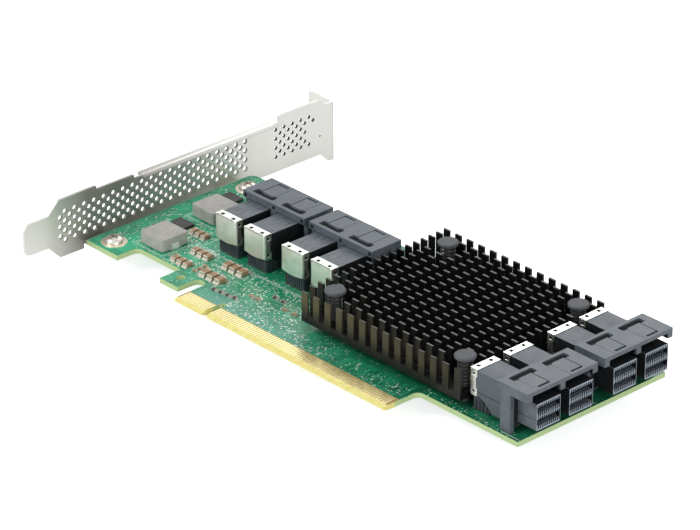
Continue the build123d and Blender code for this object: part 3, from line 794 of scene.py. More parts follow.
class CARD_OT_contacts(bpy.types.Operator):
    """Build the separate gold contacts of both board faces"""

    bl_idname = "card.contacts"
    bl_label = "Edge contacts"
    bl_options = {"REGISTER", "UNDO"}

    def execute(self, context):
        """Lays one pad for each contact, front and back."""
        look, sizes = context.scene.card_look, context.scene.card_sizes
        gold = cast_finish("contact_gold", look.gold, 0.28, 1.0, grain_mm=1.5, patch_mm=9.0,
                           spread=0.05, depth_mm=0.001)
        half = sizes.contact_width / MM / 2
        for side, base in (("front", 0.0), ("back", -BOARD_T - CONTACT_T)):
            shape = Shape()
            for turn, count in ((-1, CONTACTS_LEFT), (1, CONTACTS_RIGHT)):
                for i in range(count):
                    x = turn * (FIRST_CONTACT + CONTACT_PITCH * i)
                    shape.box(x - half, x + half, CONTACT_Y0, CONTACT_Y1, base, base + CONTACT_T,
                              edge=0.015)
            piece("edge_contact_pads_" + side, shape, [gold],
                  ["edge_contacts_" + side])
        return {"FINISHED"}


class CARD_OT_bracket(bpy.types.Operator):
    """Build the folded slot bracket with round vents and true bends"""

    bl_idname = "card.bracket"
    bl_label = "Slot bracket"
    bl_options = {"REGISTER", "UNDO"}

    def execute(self, context):
        """Joins the plate, its bends and its flange, and paints shade on the walls of the vents."""
        look, sizes = context.scene.card_look, context.scene.card_sizes
        steel = self.plating(look)
        # Painted shade: near-black walls for the short vents and the pit, mid-grey walls for the
        # long vents.
        small = cast_finish("small_vent_shade_painted", shade(look.sheet, 0.06), 0.6, 0.2)
        whole = cast_finish("long_vent_shade_painted", shade(look.sheet, 0.3), 0.45, 0.6)
        shape = Shape()
        board_low, _ = node_mm("circuit_board")
        plate_x1 = board_low.x - PLATE_GAP
        plate_x0 = plate_x1 - SHEET_T
        vents = [ring(y, z, sizes.vent_radius / MM * share) for y, z, share in self.vent_places()]
        shape.sheet(self.plate_outline(), vents, SHEET_T, end_on(plate_x0), edge=0.07)
        # Painted shade on the vent walls: index 2 for the long field, index 1 for the short field
        # and the pit.
        for face in shape.mesh.faces:
            spot, facing = face.calc_center_median(), abs(face.normal.x)
            if 0.0 < spot.z < VENT_TOP + 1.15 and facing < 0.95:
                if LONG_Y - 1.15 < spot.y < LONG_Y + LONG_PITCH * LONG_COLUMNS + 1.05:
                    face.material_index = 2
                elif SHORT_Y - 1.1 < spot.y < PIT[0] + 0.8:
                    face.material_index = 1
        self.bends(shape, plate_x0, plate_x1)
        self.flange(shape, plate_x0, plate_x1)
        piece("bracket_sheet", shape, [steel, small, whole], ["slot_bracket"])
        return {"FINISHED"}

    def plating(self, look):
        """Satin plating with soft clouds, and a painted dark reflection along the vented length."""
        made = Finish("bracket_plating", 0.38, 0.7)
        _, y, _ = made.where()
        clouds = made.span(made.noise(16.0), 0.3, 0.7)
        grain = made.noise(0.7, detail=2.0)
        # Painted reflection: the plate is darkened along the vented length, where it mirrors the
        # dark parts beside it.
        vent_reflection_paint = made.sum(made.ramp(y, -9.0, 8.0), made.ramp(y, 72.0, 22.0), "MULTIPLY")
        tone = made.mix(clouds, shade(look.sheet, 0.97), shade(look.sheet, 1.05))
        tone = made.mix(made.sum(vent_reflection_paint, 0.85, "MULTIPLY"), tone, REFLECTION_PAINT_SHEET)
        made.wire(made.mix(made.sum(grain, 0.12, "MULTIPLY"), tone, shade(look.sheet, 1.2)),
                  "Base Color")
        made.wire(made.span(clouds, 0, 1, 0.34, 0.42), "Roughness")
        made.bump(grain, 0.002)
        return made.material

    def vent_places(self):
        """Y, Z and share of the full radius of each vent, in columns of four and three."""
        full = [VENT_TOP - VENT_ROW * row for row in range(4)]
        between = [VENT_TOP_BETWEEN - VENT_ROW * row for row in range(3)]
        places = [(LONG_Y + LONG_PITCH * column, z, 1.0) for column in range(LONG_COLUMNS)
                  for z in (full if column % 2 else between)]
        places += [(SHORT_Y + SHORT_PITCH * column, z, SHORT_SHARE)
                   for column in range(SHORT_COLUMNS) for z in (between if column % 2 else full)]
        end = SHORT_Y + SHORT_PITCH * SHORT_COLUMNS
        return places + [(end, full[0], SHORT_SHARE), (end, full[3], SHORT_SHARE),
                         (end + SHORT_PITCH, between[0], SHORT_SHARE), PIT]

    def plate_outline(self):
        """The plate's edge in Y and Z, with its tongue, ear notches and lip."""
        corners = [(TONGUE_Y, TONGUE_Z0, TONGUE_R), (NECK_Y, TONGUE_Z0, 0.5),
                   (SHOULDER_Y, PLATE_Z0, 0.5)]
        for y in EARS_Y:
            corners += [(y - EAR_HALF, PLATE_Z0, 0.3), (y - EAR_HALF, EAR_BEND_Z + FOLD, 0),
                        (y + EAR_HALF, EAR_BEND_Z + FOLD, 0), (y + EAR_HALF, PLATE_Z0, 0.3)]
        corners += [
            (98.6, PLATE_Z0, 0.5), (101.7, -7.0, 0.5), (FLANGE_Y - FOLD, FLANGE_Z0, 0),
            (FLANGE_Y - FOLD, FLANGE_TOP, 0), (100.4, FLANGE_TOP, 0.4), (98.0, PLATE_Z1, 0.5),
            (LIP_Y1, PLATE_Z1, 0.4), (LIP_Y1, LIP_Z - FOLD, 0), (LIP_Y0, LIP_Z - FOLD, 0),
            (LIP_Y0, LIP_Z, 0.2), (25.3, LIP_Z, 0.3), (25.3, STEP_Z, 0.3), (11.1, STEP_Z, 0.3),
            (11.1, PLATE_Z1, 0.3), (SHOULDER_Y, PLATE_Z1, 0.6), (NECK_Y, TONGUE_Z1, 0.6),
            (TONGUE_Y, TONGUE_Z1, TONGUE_R),
        ]
        return rounded(corners)

    def bends(self, shape, x0, x1):
        """The ears under the board, the lip along the top, and their quarter-round folds."""
        bottom = -BOARD_T - SHEET_T
        for y in EARS_Y:
            shape.prism(self.quarter(x1 + BEND_R, bottom + FOLD, math.pi), 0, 2 * EAR_HALF,
                        side_on(y - EAR_HALF))
            ear = rounded([(x1 + BEND_R, y - EAR_HALF, 0), (EAR_X1, y - EAR_HALF, 1.2),
                           (EAR_X1, y + EAR_HALF, 1.2), (x1 + BEND_R, y + EAR_HALF, 0)])
            shape.sheet(ear, [ring(EAR_HOLE_X, y, EAR_HOLE_R)], SHEET_T,
                        Matrix.Translation((0, 0, bottom)), edge=0.06)
        shape.prism(self.quarter(x0 - BEND_R, LIP_Z - FOLD, 0.0), 0, LIP_Y1 - LIP_Y0,
                    side_on(LIP_Y0))
        shape.box(x0 - LIP_L, x0 - BEND_R, LIP_Y0, LIP_Y1, LIP_Z - SHEET_T, LIP_Z, edge=0.06)

    def quarter(self, x, y, start):
        """A quarter ring of sheet round a bend's centre, from a start angle."""
        turns = [start + math.pi / 2 * k / 6 for k in range(7)]
        outer = [(x + FOLD * math.cos(a), y + FOLD * math.sin(a)) for a in turns]
        inner = [(x + BEND_R * math.cos(a), y + BEND_R * math.sin(a)) for a in reversed(turns)]
        return outer + inner

    def flange(self, shape, x0, x1):
        """The flange that the chassis screw holds, its notch, and the fold to the plate."""
        bracket_low, _ = node_mm("slot_bracket")
        shape.prism(self.quarter(x1 - FOLD, FLANGE_Y - FOLD, 0.0), FLANGE_Z0, FLANGE_TOP)
        upright = Matrix(((1, 0, 0, 0), (0, 0, -1, FLANGE_Y), (0, 1, 0, 0), (0, 0, 0, 1)))
        outline = self.flange_outline(bracket_low.x, x1 - FOLD, x0 - NOTCH_OUT)
        shape.sheet(outline, [], SHEET_T, upright, edge=0.06)

    def flange_outline(self, x0, x1, middle):
        """The flange's edge in X and Z, round its open notch."""
        notch_z, notch_r = FLANGE_Z0 + NOTCH_DEPTH, NOTCH_HALF - 0.1
        corners = [(x0, FLANGE_Z0, 1.8),
                   (middle - NOTCH_HALF, FLANGE_Z0, 0.3), (middle - NOTCH_HALF, notch_z, notch_r),
                   (middle + NOTCH_HALF, notch_z, notch_r), (middle + NOTCH_HALF, FLANGE_Z0, 0.3),
                   (x1, FLANGE_Z0, 0), (x1, FLANGE_TOP, 0), (x0, FLANGE_TOP, 0.9)]
        return rounded(corners, 6)


class CARD_OT_screws(bpy.types.Operator):
    """Build the two bracket screws and the plated rings under their heads"""

    bl_idname = "card.screws"
    bl_label = "Bracket screws"
    bl_options = {"REGISTER", "UNDO"}

    def execute(self, context):
        """Turns each screw where its solid stands, over its plated ring."""
        bright = cast_finish("screw_plating", SCREW_TONE, 0.3, 1.0)
        ring_tin = cast_finish("ring_plating", RING_TONE, 0.35, 1.0)
        for name in ("bracket_screw_lower", "bracket_screw_upper"):
            low, high = node_mm(name)
            centre = ((low + high) / 2)[:2]
            piece(name + "_turned", self.screw(centre, low.z, high.z), [bright],
                  [name])
            piece(name + "_ring", self.plated_ring(centre), [ring_tin])
        return {"FINISHED"}

    def screw(self, centre, z0, z1):
        """A pan head with a cross recess on a plain shank."""
        head = Shape()
        head.turn([(0, z1), (0.9, z1), (1.6, z1 - 0.1), (2.2, z1 - 0.35), (2.65, z1 - 0.8),
                   (2.86, z1 - 1.3), (2.86, 0.08), (2.78, 0.0), (1.2, 0.0), (1.2, z0 + 0.3),
                   (0.9, z0), (0, z0)], centre, 40)
        x, y = centre
        cross = [boxed(x - long, x + long, y - wide, y + wide, z1 - 1.0, z1 + 0.2)
                 for long, wide in ((1.7, 0.42), (0.42, 1.7))]
        return moulded([head], cross, 0.04)

    def plated_ring(self, centre):
        """A thin ring round the screw's hole, with eight plated dots in it."""
        plated, dots, out = Shape(), 8, 3.35
        plated.turn([(1.6, 0.0), (1.6, 0.04), (3.8, 0.04), (3.85, 0.0)], centre, 40)
        for x, y in ring(*centre, out, dots):
            plated.turn([(0.0, 0.05), (0.22, 0.05), (0.3, 0.03)], (x, y), 10)
        return plated


class CARD_OT_heat_sink(bpy.types.Operator):
    """Finish the heat sink and the chip, lid and pad under it"""

    bl_idname = "card.heat_sink"
    bl_label = "Heat sink"
    bl_options = {"REGISTER", "UNDO"}

    def execute(self, context):
        """Gives the sink, and the parts that it covers, their finishes."""
        look = context.scene.card_look
        paint(["heat_sink"], self.anodising(look))
        soften("heat_sink", 0.07)
        paint(["switch_chip"], cast_finish("chip_carrier", CARRIER_TONE, 0.4))
        paint(["chip_lid"], cast_finish("nickel_lid", LID_TONE, 0.3, 1.0))
        paint(["thermal_pad"], cast_finish("pad_compound", PAD_COMPOUND, 0.8))
        return {"FINISHED"}

    def anodising(self, look):
        """Black anodising, with painted light in a warm brown on the row of pins beside the
        contacts, and a painted highlight on the pin tops.
        """
        low, high = node_mm("heat_sink")
        made = Finish("black_anodising", 0.3, 0.0, 0.2)
        x, y, z = made.where()
        streaks = made.noise(0.25, (1, 1, 30), 4.0)
        # Painted light: the first row of pins is lighter, fading towards the far end.
        first_row = made.ramp(y, low.y + 1.2, low.y + 1.3, 1, 0)
        pins = made.ramp(z, high.z - 9.0, high.z - 3.0)
        far = made.ramp(x, low.x + 4, high.x - 8, 1.0, 0.25)
        first_row_light_paint = made.sum(made.sum(first_row, pins, "MULTIPLY"), far, "MULTIPLY")
        black = made.mix(made.span(streaks, 0.3, 0.7), shade(look.sink, 0.6), shade(look.sink, 1.2))
        # Painted highlight: the pin tops are lighter than the black anodising.
        top_highlight_paint = made.ramp(z, high.z - 0.12, high.z - 0.08)
        made.wire(made.mix(top_highlight_paint, made.mix(first_row_light_paint, black, PIN_ROW_LIGHT_PAINT), PIN_TOP_HIGHLIGHT), "Base Color")
        made.wire(made.span(streaks, 0.3, 0.7, 0.26, 0.4), "Roughness")
        made.bump(streaks, 0.006, 0.35)
        return made.material


class CARD_OT_push_pins(bpy.types.Operator):
    """Build the four push pins and their coil springs"""

    bl_idname = "card.push_pins"
    bl_label = "Push pins"
    bl_options = {"REGISTER", "UNDO"}

    def execute(self, context):
        """Turns each pin and winds its spring where their solids stand."""
        look, sizes = context.scene.card_look, context.scene.card_sizes
        plastic = cast_finish("push_pin_plastic", look.pin, 0.6, patch_mm=1.2, spread=0.25)
        wire = cast_finish("spring_wire", SPRING_TONE, 0.42, 0.6)
        for number in "1234":
            low, high = node_mm("push_pin_" + number)
            centre = ((low + high) / 2)[:2]
            piece("push_pin_turned_" + number, self.pin(centre, low.z, high.z), [plastic],
                  ["push_pin_" + number])
            spring = self.spring(centre, *node_mm("push_pin_spring_" + number), sizes.spring_turns)
            piece("push_pin_coil_" + number, spring, [wire],
                  ["push_pin_spring_" + number])
        return {"FINISHED"}

    def pin(self, centre, low, top):
        """A broad flat head, a plain shank, and a barb behind the board."""
        shape = Shape()
        shape.turn([(0, top - 0.04), (1.2, top), (2.75, top), (3.05, top - 0.3), (3.0, top - 0.9),
                    (1.35, top - 0.9), (1.35, -BOARD_T), (1.85, -BOARD_T), (0.7, low), (0, low)],
                   centre, 32)
        return shape

    def spring(self, centre, low, high, turns):
        """A coil spring between two heights."""
        shape = Shape()
        steps, wire, out = 18 * turns, 0.27, 1.93
        path = []
        for i in range(steps + 1):
            angle = 2 * math.pi * turns * i / steps
            z = low.z + wire + (high.z - low.z - 2 * wire) * i / steps
            path.append(Vector((centre[0] + out * math.cos(angle),
                                centre[1] + out * math.sin(angle), z)))
        shape.tube(path, wire, 8)
        return shape


class CARD_OT_housings(bpy.types.Operator):
    """Build the four moulded socket housings"""

    bl_idname = "card.housings"
    bl_label = "Socket housings"
    bl_options = {"REGISTER", "UNDO"}

    def execute(self, context):
        """Makes one moulding, and stands it at each block's place with its noses."""
        look, sizes = context.scene.card_look, context.scene.card_sizes
        plastic = cast_finish("socket_plastic", look.socket, 0.42, grain_mm=0.5, patch_mm=3.0,
                              spread=0.24)
        # Painted shade: a near-black finish for faces that lie in shade inside the sockets.
        dark = cast_finish("socket_shade_painted", look.inside, 0.6, specular=0.12)
        # Painted light: a lighter plastic for the nose fronts and the tops of the sill teeth.
        lit = cast_finish("nose_front_light_painted", shade(look.socket, 2.8), 0.4)
        body = moulded(self.solids(), self.cuts(), 0.1)
        self.paint_inner_shade(body)
        body = body.to_mesh("body")
        for name, place in BLOCKS.items():
            shape = Shape()
            shape.mesh.from_mesh(body)
            self.paint_floor_shade(shape)
            for w in PORTS:
                self.nose(shape, w, sizes.comb_teeth, name == "end_far")
            piece("socket_moulding_" + name, shape, [plastic, dark, lit],
                  ["socket_housing_" + name], place)
        return {"FINISHED"}

    def paint_inner_shade(self, body):
        """Painted shade: the dark finish on the bulkhead, and on the insides of the hood and
        cheeks.
        """
        for face in body.mesh.faces:
            face.normal_update()
            spot = face.calc_center_median()
            inner = abs(spot.y) < HALF_W - LEG_T + 0.1 and spot.z < HOOD_Z0 + 0.05
            bulkhead = -0.6 < spot.x + NOSE_L + BULKHEAD_T < 1.1
            roof = face.normal.z < -0.9 and abs(spot.z - HOOD_Z0) < 0.05
            cheek = abs(face.normal.y) > 0.9 and abs(abs(spot.y) - (HALF_W - CHEEK_T)) < 0.1
            if inner and (bulkhead or roof or cheek):
                face.material_index = 1

    def solids(self):
        """The hood, rear wall, bulkhead, spine, front lug, legs and cheeks."""
        into_hood = HOOD_Z0 + 0.1
        leg_back = HOOD_T - HOOD_BACK
        corners = [
            (-HOOD_BACK, -HOOD_FRONT, -HALF_W, HALF_W, HOOD_Z0, HOOD_Z1),
            (-HOOD_BACK, leg_back, -HALF_W, HALF_W, CAP_TOP, into_hood),
            (-NOSE_L - BULKHEAD_T, -NOSE_L, LEG_T - HALF_W, HALF_W - LEG_T, NOSE_Z0 - 1.0,
             into_hood),
            (-HOOD_BACK, leg_back, -SPINE_T / 2, SPINE_T / 2, HOOD_Z0 - SPINE_H, into_hood),
            (-HOOD_FRONT - 0.8, -HOOD_FRONT, -LUG_T / 2, LUG_T / 2, HOOD_Z0 - LUG_H, into_hood),
        ]
        for side in (-1, 1):
            outer = side * HALF_W
            leg = sorted((outer, outer - side * LEG_T))
            cheek = sorted((outer, outer - side * CHEEK_T))
            corners.append((leg_back, leg_back + LEG_L, *leg, 0, into_hood))
            corners.append((-NOSE_L - BULKHEAD_T, -HOOD_FRONT, *cheek, HOOD_Z1 - CHEEK_H,
                            into_hood))
        return [boxed(*corner) for corner in corners]

    def cuts(self):
        """Latch recesses, guide grooves, and the square windows of the rear wall."""
        above = HOOD_Z1 + 0.1
        floor = HOOD_Z1 - GROOVE_DEPTH
        cuts = []
        for w in PORTS:
            latch = Shape()
            latch.prism(self.latch_outline(w), HOOD_Z1 - LATCH_DEPTH, above)
            cuts += [
                latch,
                boxed(LATCH_U + 1.9, GROOVE_U, w + 2.2, w + 2.5, floor, above),
                boxed(GROOVE_U - 0.75, GROOVE_U, w - 1.8, w + 2.3, floor, above),
                boxed(LATCH_U + 2.2, -HOOD_FRONT + 0.1, w - 3.0, w - 2.88, HOOD_Z1 - 0.14, above),
            ]
        for w in WINDOWS_W:
            cuts.append(boxed(-HOOD_BACK - 0.1, WINDOW_L - HOOD_BACK, w - WINDOW_HALF_W,
                              w + WINDOW_HALF_W, WINDOW_Z0, WINDOW_Z1))
        return cuts

    def latch_outline(self, w):
        """A latch recess, with a foot towards the mouth at each end."""
        u1, waist = LATCH_U + LATCH_L, LATCH_U + 2.0
        half = LATCH_HALF_W
        return rounded([(LATCH_U, w - half, 0.5), (u1, w - half, 0.5), (u1, w - 2.5, 0.4),
                        (waist, w - 2.1, 0), (waist, w + 2.1, 0), (u1, w + 2.5, 0.4),
                        (u1, w + half, 0.5), (LATCH_U, w + half, 0.5)], 3)

    def paint_floor_shade(self, shape):
        """Painted shade: dark boxes behind the latch recesses and the rear windows."""
        floor = HOOD_Z1 - LATCH_DEPTH + 0.01
        half = LATCH_HALF_W - 0.05
        for w in PORTS:
            shape.box(LATCH_U + 0.02, LATCH_U + LATCH_L - 0.02, w - half, w + half, floor,
                      HOOD_Z1 - 0.7, finish=1)
        half = WINDOW_HALF_W - 0.01
        for w in WINDOWS_W:
            shape.box(0.3 - HOOD_BACK, WINDOW_L - 0.01 - HOOD_BACK, w - half, w + half,
                      WINDOW_Z0 + 0.01, WINDOW_Z1 - 0.01, finish=1)

    def nose(self, shape, w, teeth, shaded):
        """A nose with two comb-edged card slots, painted light on its front and sill teeth, and
        painted shade in its slots and on its shaded faces.
        """
        dark, lit = 1, 2
        half_w, half_h = NOSE_W / 2, NOSE_H / 2
        middle = NOSE_Z0 + half_h
        outline = rounded([(-half_w, -half_h, 0.3), (half_w, -half_h, 0.3), (half_w, half_h, 0.3),
                           (-half_w, half_h, 0.3)], 3)
        slots = [self.comb(side * SLOT_Z, teeth) for side in (-1, 1)]
        sills = [middle + side * SLOT_Z - SLOT_H + SILL_H for side in (-1, 1)]
        before = len(shape.mesh.faces)
        shape.sheet(outline, slots, NOSE_L, end_on(-NOSE_L, w, middle), edge=0.04)
        shape.mesh.faces.ensure_lookup_table()
        for face in shape.mesh.faces[before:]:
            face.normal_update()
            spot, normal = face.calc_center_median(), face.normal
            across = spot.y - w
            # Painted light on the front faces.
            if spot.x > -0.05 and abs(normal.x) > 0.9:
                face.material_index = lit
            # Painted shade inside the slots, with painted light on the tops of the sill teeth.
            elif abs(across) < half_w - 0.2 and abs(spot.z - middle) < half_h - 0.2:
                sill = any(abs(spot.z - z) < 0.02 for z in sills)
                face.material_index = lit if sill and normal.z > 0.9 else dark
            # Painted shade on the sides that face the other nose, on every -W side of the far
            # block, and on the tops under the hood.
            elif abs(normal.y) > 0.9 and (across * w < 0 or (shaded and across < 0)):
                face.material_index = dark
            elif normal.z > 0.9 and spot.x < -0.6:
                face.material_index = dark
        # Painted shade: a dark box inside the nose, behind the slots.
        shape.box(0.1 - NOSE_L, -1.7, w - half_w + 0.25, w + half_w - 0.25, middle - half_h + 0.4,
                  middle + half_h - 0.4, finish=dark)
        if w < 0:
            shape.box(-NOSE_L, -0.4, w - half_w - 0.02, w - half_w + 0.1, middle - 0.96,
                      middle - 0.84, finish=dark)

    def comb(self, z, teeth):
        """A card slot's edge: short teeth along its top, and longer ribs along its sill."""
        pitch = 2 * SLOT_HALF_W / teeth
        lower, upper = [], []
        for i in range(teeth):
            x = -SLOT_HALF_W + pitch * i
            for px, up in ((x, 1), (x + pitch * 0.5, 1), (x + pitch * 0.5, 0), (x + pitch, 0)):
                lower.append((px, z - SLOT_H + SILL_H * up))
                upper.append((px, z + SLOT_H - TOOTH_H * up))
        return lower + upper[::-1]


class CARD_OT_wafers(bpy.types.Operator):
    """Build the wafer stacks behind the eight ports"""

    bl_idname = "card.wafers"
    bl_label = "Wafer stacks"
    bl_options = {"REGISTER", "UNDO"}

    def execute(self, context):
        """Stacks the wafers of each port, with painted shade on the sides where little light
        reaches.
        """
        look, sizes = context.scene.card_look, context.scene.card_sizes
        plain = cast_finish("wafer_plastic_end", look.socket, 0.45, patch_mm=4.0, spread=0.08)
        lined = wafer_finish("wafer_plastic_top", look.wafer, 0.42)
        dark = cast_finish("wafer_side_shade_painted", look.inside, 0.5, specular=0.25)
        for name, number, w, place in ports():
            end = name.startswith("end")
            shape = self.stack(w, sizes.wafer_count, 0.015 if end else 0.035)
            for face in shape.mesh.faces:
                face.normal_update()
                across = face.calc_center_median().y - w
                # Painted shade on the outer sides of each stack, except the lit side of the near
                # block's first port.
                lit = name == "end_near" and number == 1 and across < 0
                if abs(face.normal.y) > 0.9 and abs(across) > WAFER_W / 2 - 0.1 and not lit:
                    face.material_index = 1
            port = f"{name}_{number}"
            piece("wafers_" + port, shape, [plain if end else lined, dark],
                  ["wafer_stack_" + port], place)
        return {"FINISHED"}

    def stack(self, w, count, gap):
        """Upright wafers side by side, each in two halves about a seam."""
        shape = Shape()
        back, front = TIN_T - CAP_BACK, -NOSE_L - BULKHEAD_T
        seam_low, seam_high = SEAM_Z - SEAM_H / 2, SEAM_Z + SEAM_H / 2
        lower = [(front, WAFER_FOOT), (front, seam_low), (back, seam_low), (back, HEEL_Z)]
        lower += self.heel_curve(back + HEEL_FLAT, back + HEEL_L)
        upper = [(back, seam_high), (front, seam_high), (front, WAFER_TOP), (back, WAFER_TOP)]
        pitch = WAFER_W / count
        for i in range(count):
            for outline in (lower, upper):
                shape.prism(outline, 0.0, pitch - gap, side_on(w - WAFER_W / 2 + pitch * i),
                            edge=gap)
        half = WAFER_W / 2 + 0.01
        shape.box(back, front, w - half, w + half, seam_low + 0.01, seam_high - 0.01, finish=1)
        return shape

    def heel_curve(self, start, end):
        """The rounded heel, from its flat down to the foot."""
        drop = HEEL_Z - WAFER_FOOT
        points = []
        for k in range(7):
            t = k / 6
            bulge = 0.75 * math.sin(math.pi * t)
            points.append((start + (end - start) * t + bulge * 0.52,
                           HEEL_Z - drop * t + bulge * 0.85))
        return points


class CARD_OT_organizers(bpy.types.Operator):
    """Build the ribbed tail organizers and the soldered tails at the board"""

    bl_idname = "card.organizers"
    bl_label = "Tail organizers"
    bl_options = {"REGISTER", "UNDO"}

    def execute(self, context):
        """Places an organizer under the heel of each port's wafers."""
        look, sizes = context.scene.card_look, context.scene.card_sizes
        plastic = cast_finish("organizer_plastic", look.organizer, 0.4, patch_mm=2.0, spread=0.3)
        tin = cast_finish("tail_tin", look.tin, 0.3, 1.0)
        for name, number, w, place in ports():
            port = f"{name}_{number}"
            piece("organizer_" + port, self.organizer(w, sizes.organizer_ribs), [plastic, tin],
                  ["tail_organizer_" + port], place)
        return {"FINISHED"}

    def organizer(self, w, ribs):
        """A block under the heel with upright ribs at its back, and tails at its foot."""
        shape = Shape()
        back, left = ORGANIZER_BACK, w - ORGANIZER_HALF_W
        outline = [(back + 0.15, 0.1), (back + 6.0, 0.1), (back + 6.0, 1.2), (back + 4.2, 2.6),
                   (back + 1.2, 4.4), (back + 0.15, 4.5)]
        shape.prism(outline, 0.0, 2 * ORGANIZER_HALF_W, side_on(left), edge=0.12)
        pitch = 2 * ORGANIZER_HALF_W / ribs
        for i in range(ribs):
            rib = left + pitch * (i + 0.2)
            shape.box(back, back + 0.4, rib, rib + pitch * 0.6, 0.3, 4.3, edge=0.08)
            shape.box(back - 0.5, back + 0.3, rib + 0.1, rib + 0.45, 0.02, 0.16, finish=1)
        for edge_w in (w - 4.2, w + 4.05):
            for i in range(4):
                tail = back + 0.8 + 1.3 * i
                shape.box(tail, tail + 0.6, edge_w, edge_w + 0.15, 0.3, 3.0)
        return shape


class CARD_OT_caps(bpy.types.Operator):
    """Build the folded tin caps"""

    bl_idname = "card.caps"
    bl_label = "Tin caps"
    bl_options = {"REGISTER", "UNDO"}

    def execute(self, context):
        """Folds a cap over the back of each port's wafers."""
        look = context.scene.card_look
        tin = cast_finish("tin_plating", look.tin, 0.33, 0.96, grain_mm=0.8, patch_mm=3.0,
                          spread=0.04, depth_mm=0.001)
        # Painted shade: a near-black finish for the boxes seen through the top's holes.
        dark = cast_finish("cap_hole_shade_painted", look.inside, 0.6, specular=0.12)
        for name, number, w, place in ports():
            port = f"{name}_{number}"
            piece("cap_" + port, self.cap(w), [tin, dark], ["socket_cap_" + port], place)
        return {"FINISHED"}

    def cap(self, w):
        """A bowed back plate, round folds, a top with two holes, and two waisted cheeks."""
        shape = Shape()
        half, fold = CAP_W / 2, CAP_FOLD
        rear, front = -CAP_BACK, CAP_L - CAP_BACK
        middle = (front + rear) / 2
        under = CAP_TOP - TIN_T
        top = rounded([(rear, w - half, fold), (front, w - half, 0), (front, w + half, 0),
                       (rear, w + half, fold)])
        holes = [square(middle - 0.2, w + side, CAP_HOLE_HALF) for side in CAP_HOLES_W]
        shape.sheet(top, holes, TIN_T, Matrix.Translation((0, 0, under)), edge=0.05)
        # Painted shade under the holes in the top.
        for side in CAP_HOLES_W:
            shape.box(middle - 0.8, middle + 0.4, w + side - CAP_HOLE_HALF,
                      w + side + CAP_HOLE_HALF, under - 0.1, under + 0.04, finish=1)
        cheek = [(rear + fold, CAP_Z0 + 0.5), (rear + fold + 0.4, CAP_Z0), (front - 0.2, CAP_Z0),
                 (front, CAP_Z0 + 0.3), (front, CAP_Z0 + 2.2), (front - 0.45, CAP_Z0 + 2.6),
                 (front - 0.45, CAP_TOP - 2.5), (front, CAP_TOP - 2.1), (front, CAP_TOP),
                 (rear + fold, CAP_TOP)]
        holes = [square(middle + 0.1, z, CHEEK_HOLE_HALF) for z in CHEEK_HOLES_Z]
        for left in (w - half, w + half - TIN_T):
            shape.sheet(cheek, holes, TIN_T, side_on(left), edge=0.05)
        for turn in (-1, 1):
            centre = Vector((rear + fold, w + turn * (half - fold)))
            arc = [Vector((-math.cos(a), turn * math.sin(a)))
                   for a in (math.pi / 2 * k / 5 for k in range(6))]
            bend = [tuple(centre + fold * p) for p in arc]
            bend += [tuple(centre + (fold - TIN_T) * p) for p in reversed(arc)]
            shape.prism(bend, CAP_Z0 + 0.5, CAP_TOP - 0.05)
        span = half - fold
        back = [(w - span + 2 * span * k / 8, CAP_Z0 + 0.5 * (1 - math.sin(math.pi * k / 8)))
                for k in range(9)]
        back += [(w + span, CAP_TOP), (w - span, CAP_TOP)]
        shape.sheet(back, [], TIN_T, end_on(rear), edge=0.05)
        return shape


class CARD_OT_inductors(bpy.types.Operator):
    """Build the moulded inductors and their terminals"""

    bl_idname = "card.inductors"
    bl_label = "Inductors"
    bl_options = {"REGISTER", "UNDO"}

    def execute(self, context):
        """Moulds each inductor where its solid stands."""
        look = context.scene.card_look
        powder = cast_finish("inductor_powder", look.inductor, 0.65, grain_mm=0.6, depth_mm=0.03,
                             patch_mm=2.5, spread=0.16)
        tin = cast_finish("terminal_tin", look.tin, 0.4, 0.3)
        for name in ("inductor_lower", "inductor_upper"):
            piece(name + "_moulding", self.inductor(*node_mm(name)), [powder, tin],
                  [name])
        return {"FINISHED"}

    def inductor(self, low, high):
        """A round-cornered block with a terminal folded up at each end."""
        shape = Shape()
        middle, half = (low + high) / 2, (high.x - low.x) / 2
        x, y = middle.x, middle.y
        body = rounded([(x - half, y - half, 0.8), (x + half, y - half, 0.8),
                        (x + half, y + half, 0.8), (x - half, y + half, 0.8)])
        shape.prism(body, 0.15, high.z, edge=0.16)
        for side in (-1, 1):
            end = x + side * half
            shape.box(*sorted((end - side * 0.3, end + side * 0.1)), y - 1.2, y + 1.2, 0.0, 1.8,
                      finish=1, edge=0.08)
            shape.box(*sorted((end, end - side * 2.2)), y - 1.9, y + 1.9, 0.0, 0.2, finish=1)
        return shape


class CARD_OT_chips(bpy.types.Operator):
    """Build the two regulator chips with their leads"""

    bl_idname = "card.chips"
    bl_label = "Regulator chips"
    bl_options = {"REGISTER", "UNDO"}

    def execute(self, context):
        """Places both chips on the board in one piece."""
        look = context.scene.card_look
        plastic = cast_finish("chip_plastic", look.chip, 0.55)
        tin = cast_finish("lead_tin", look.tin, 0.35, 1.0)
        shape = Shape()
        half_l, half_w = CHIP_HALF_L, CHIP_HALF_W
        for x, y in CHIPS_AT:
            shape.box(x - half_l, x + half_l, y - half_w, y + half_w, 0.08, 1.0, edge=0.12)
            for i in range(CHIP_LEADS):
                lead = x - 2.5 + LEAD_PITCH * i
                for side in (-1, 1):
                    foot = sorted((y + side * (half_w - 0.05), y + side * (half_w + 0.65)))
                    shape.box(lead - 0.2, lead + 0.2, *foot, 0.0, 0.22, finish=1, edge=0.03)
        piece("regulator_packages", shape, [plastic, tin], ["regulator_chips"])
        return {"FINISHED"}


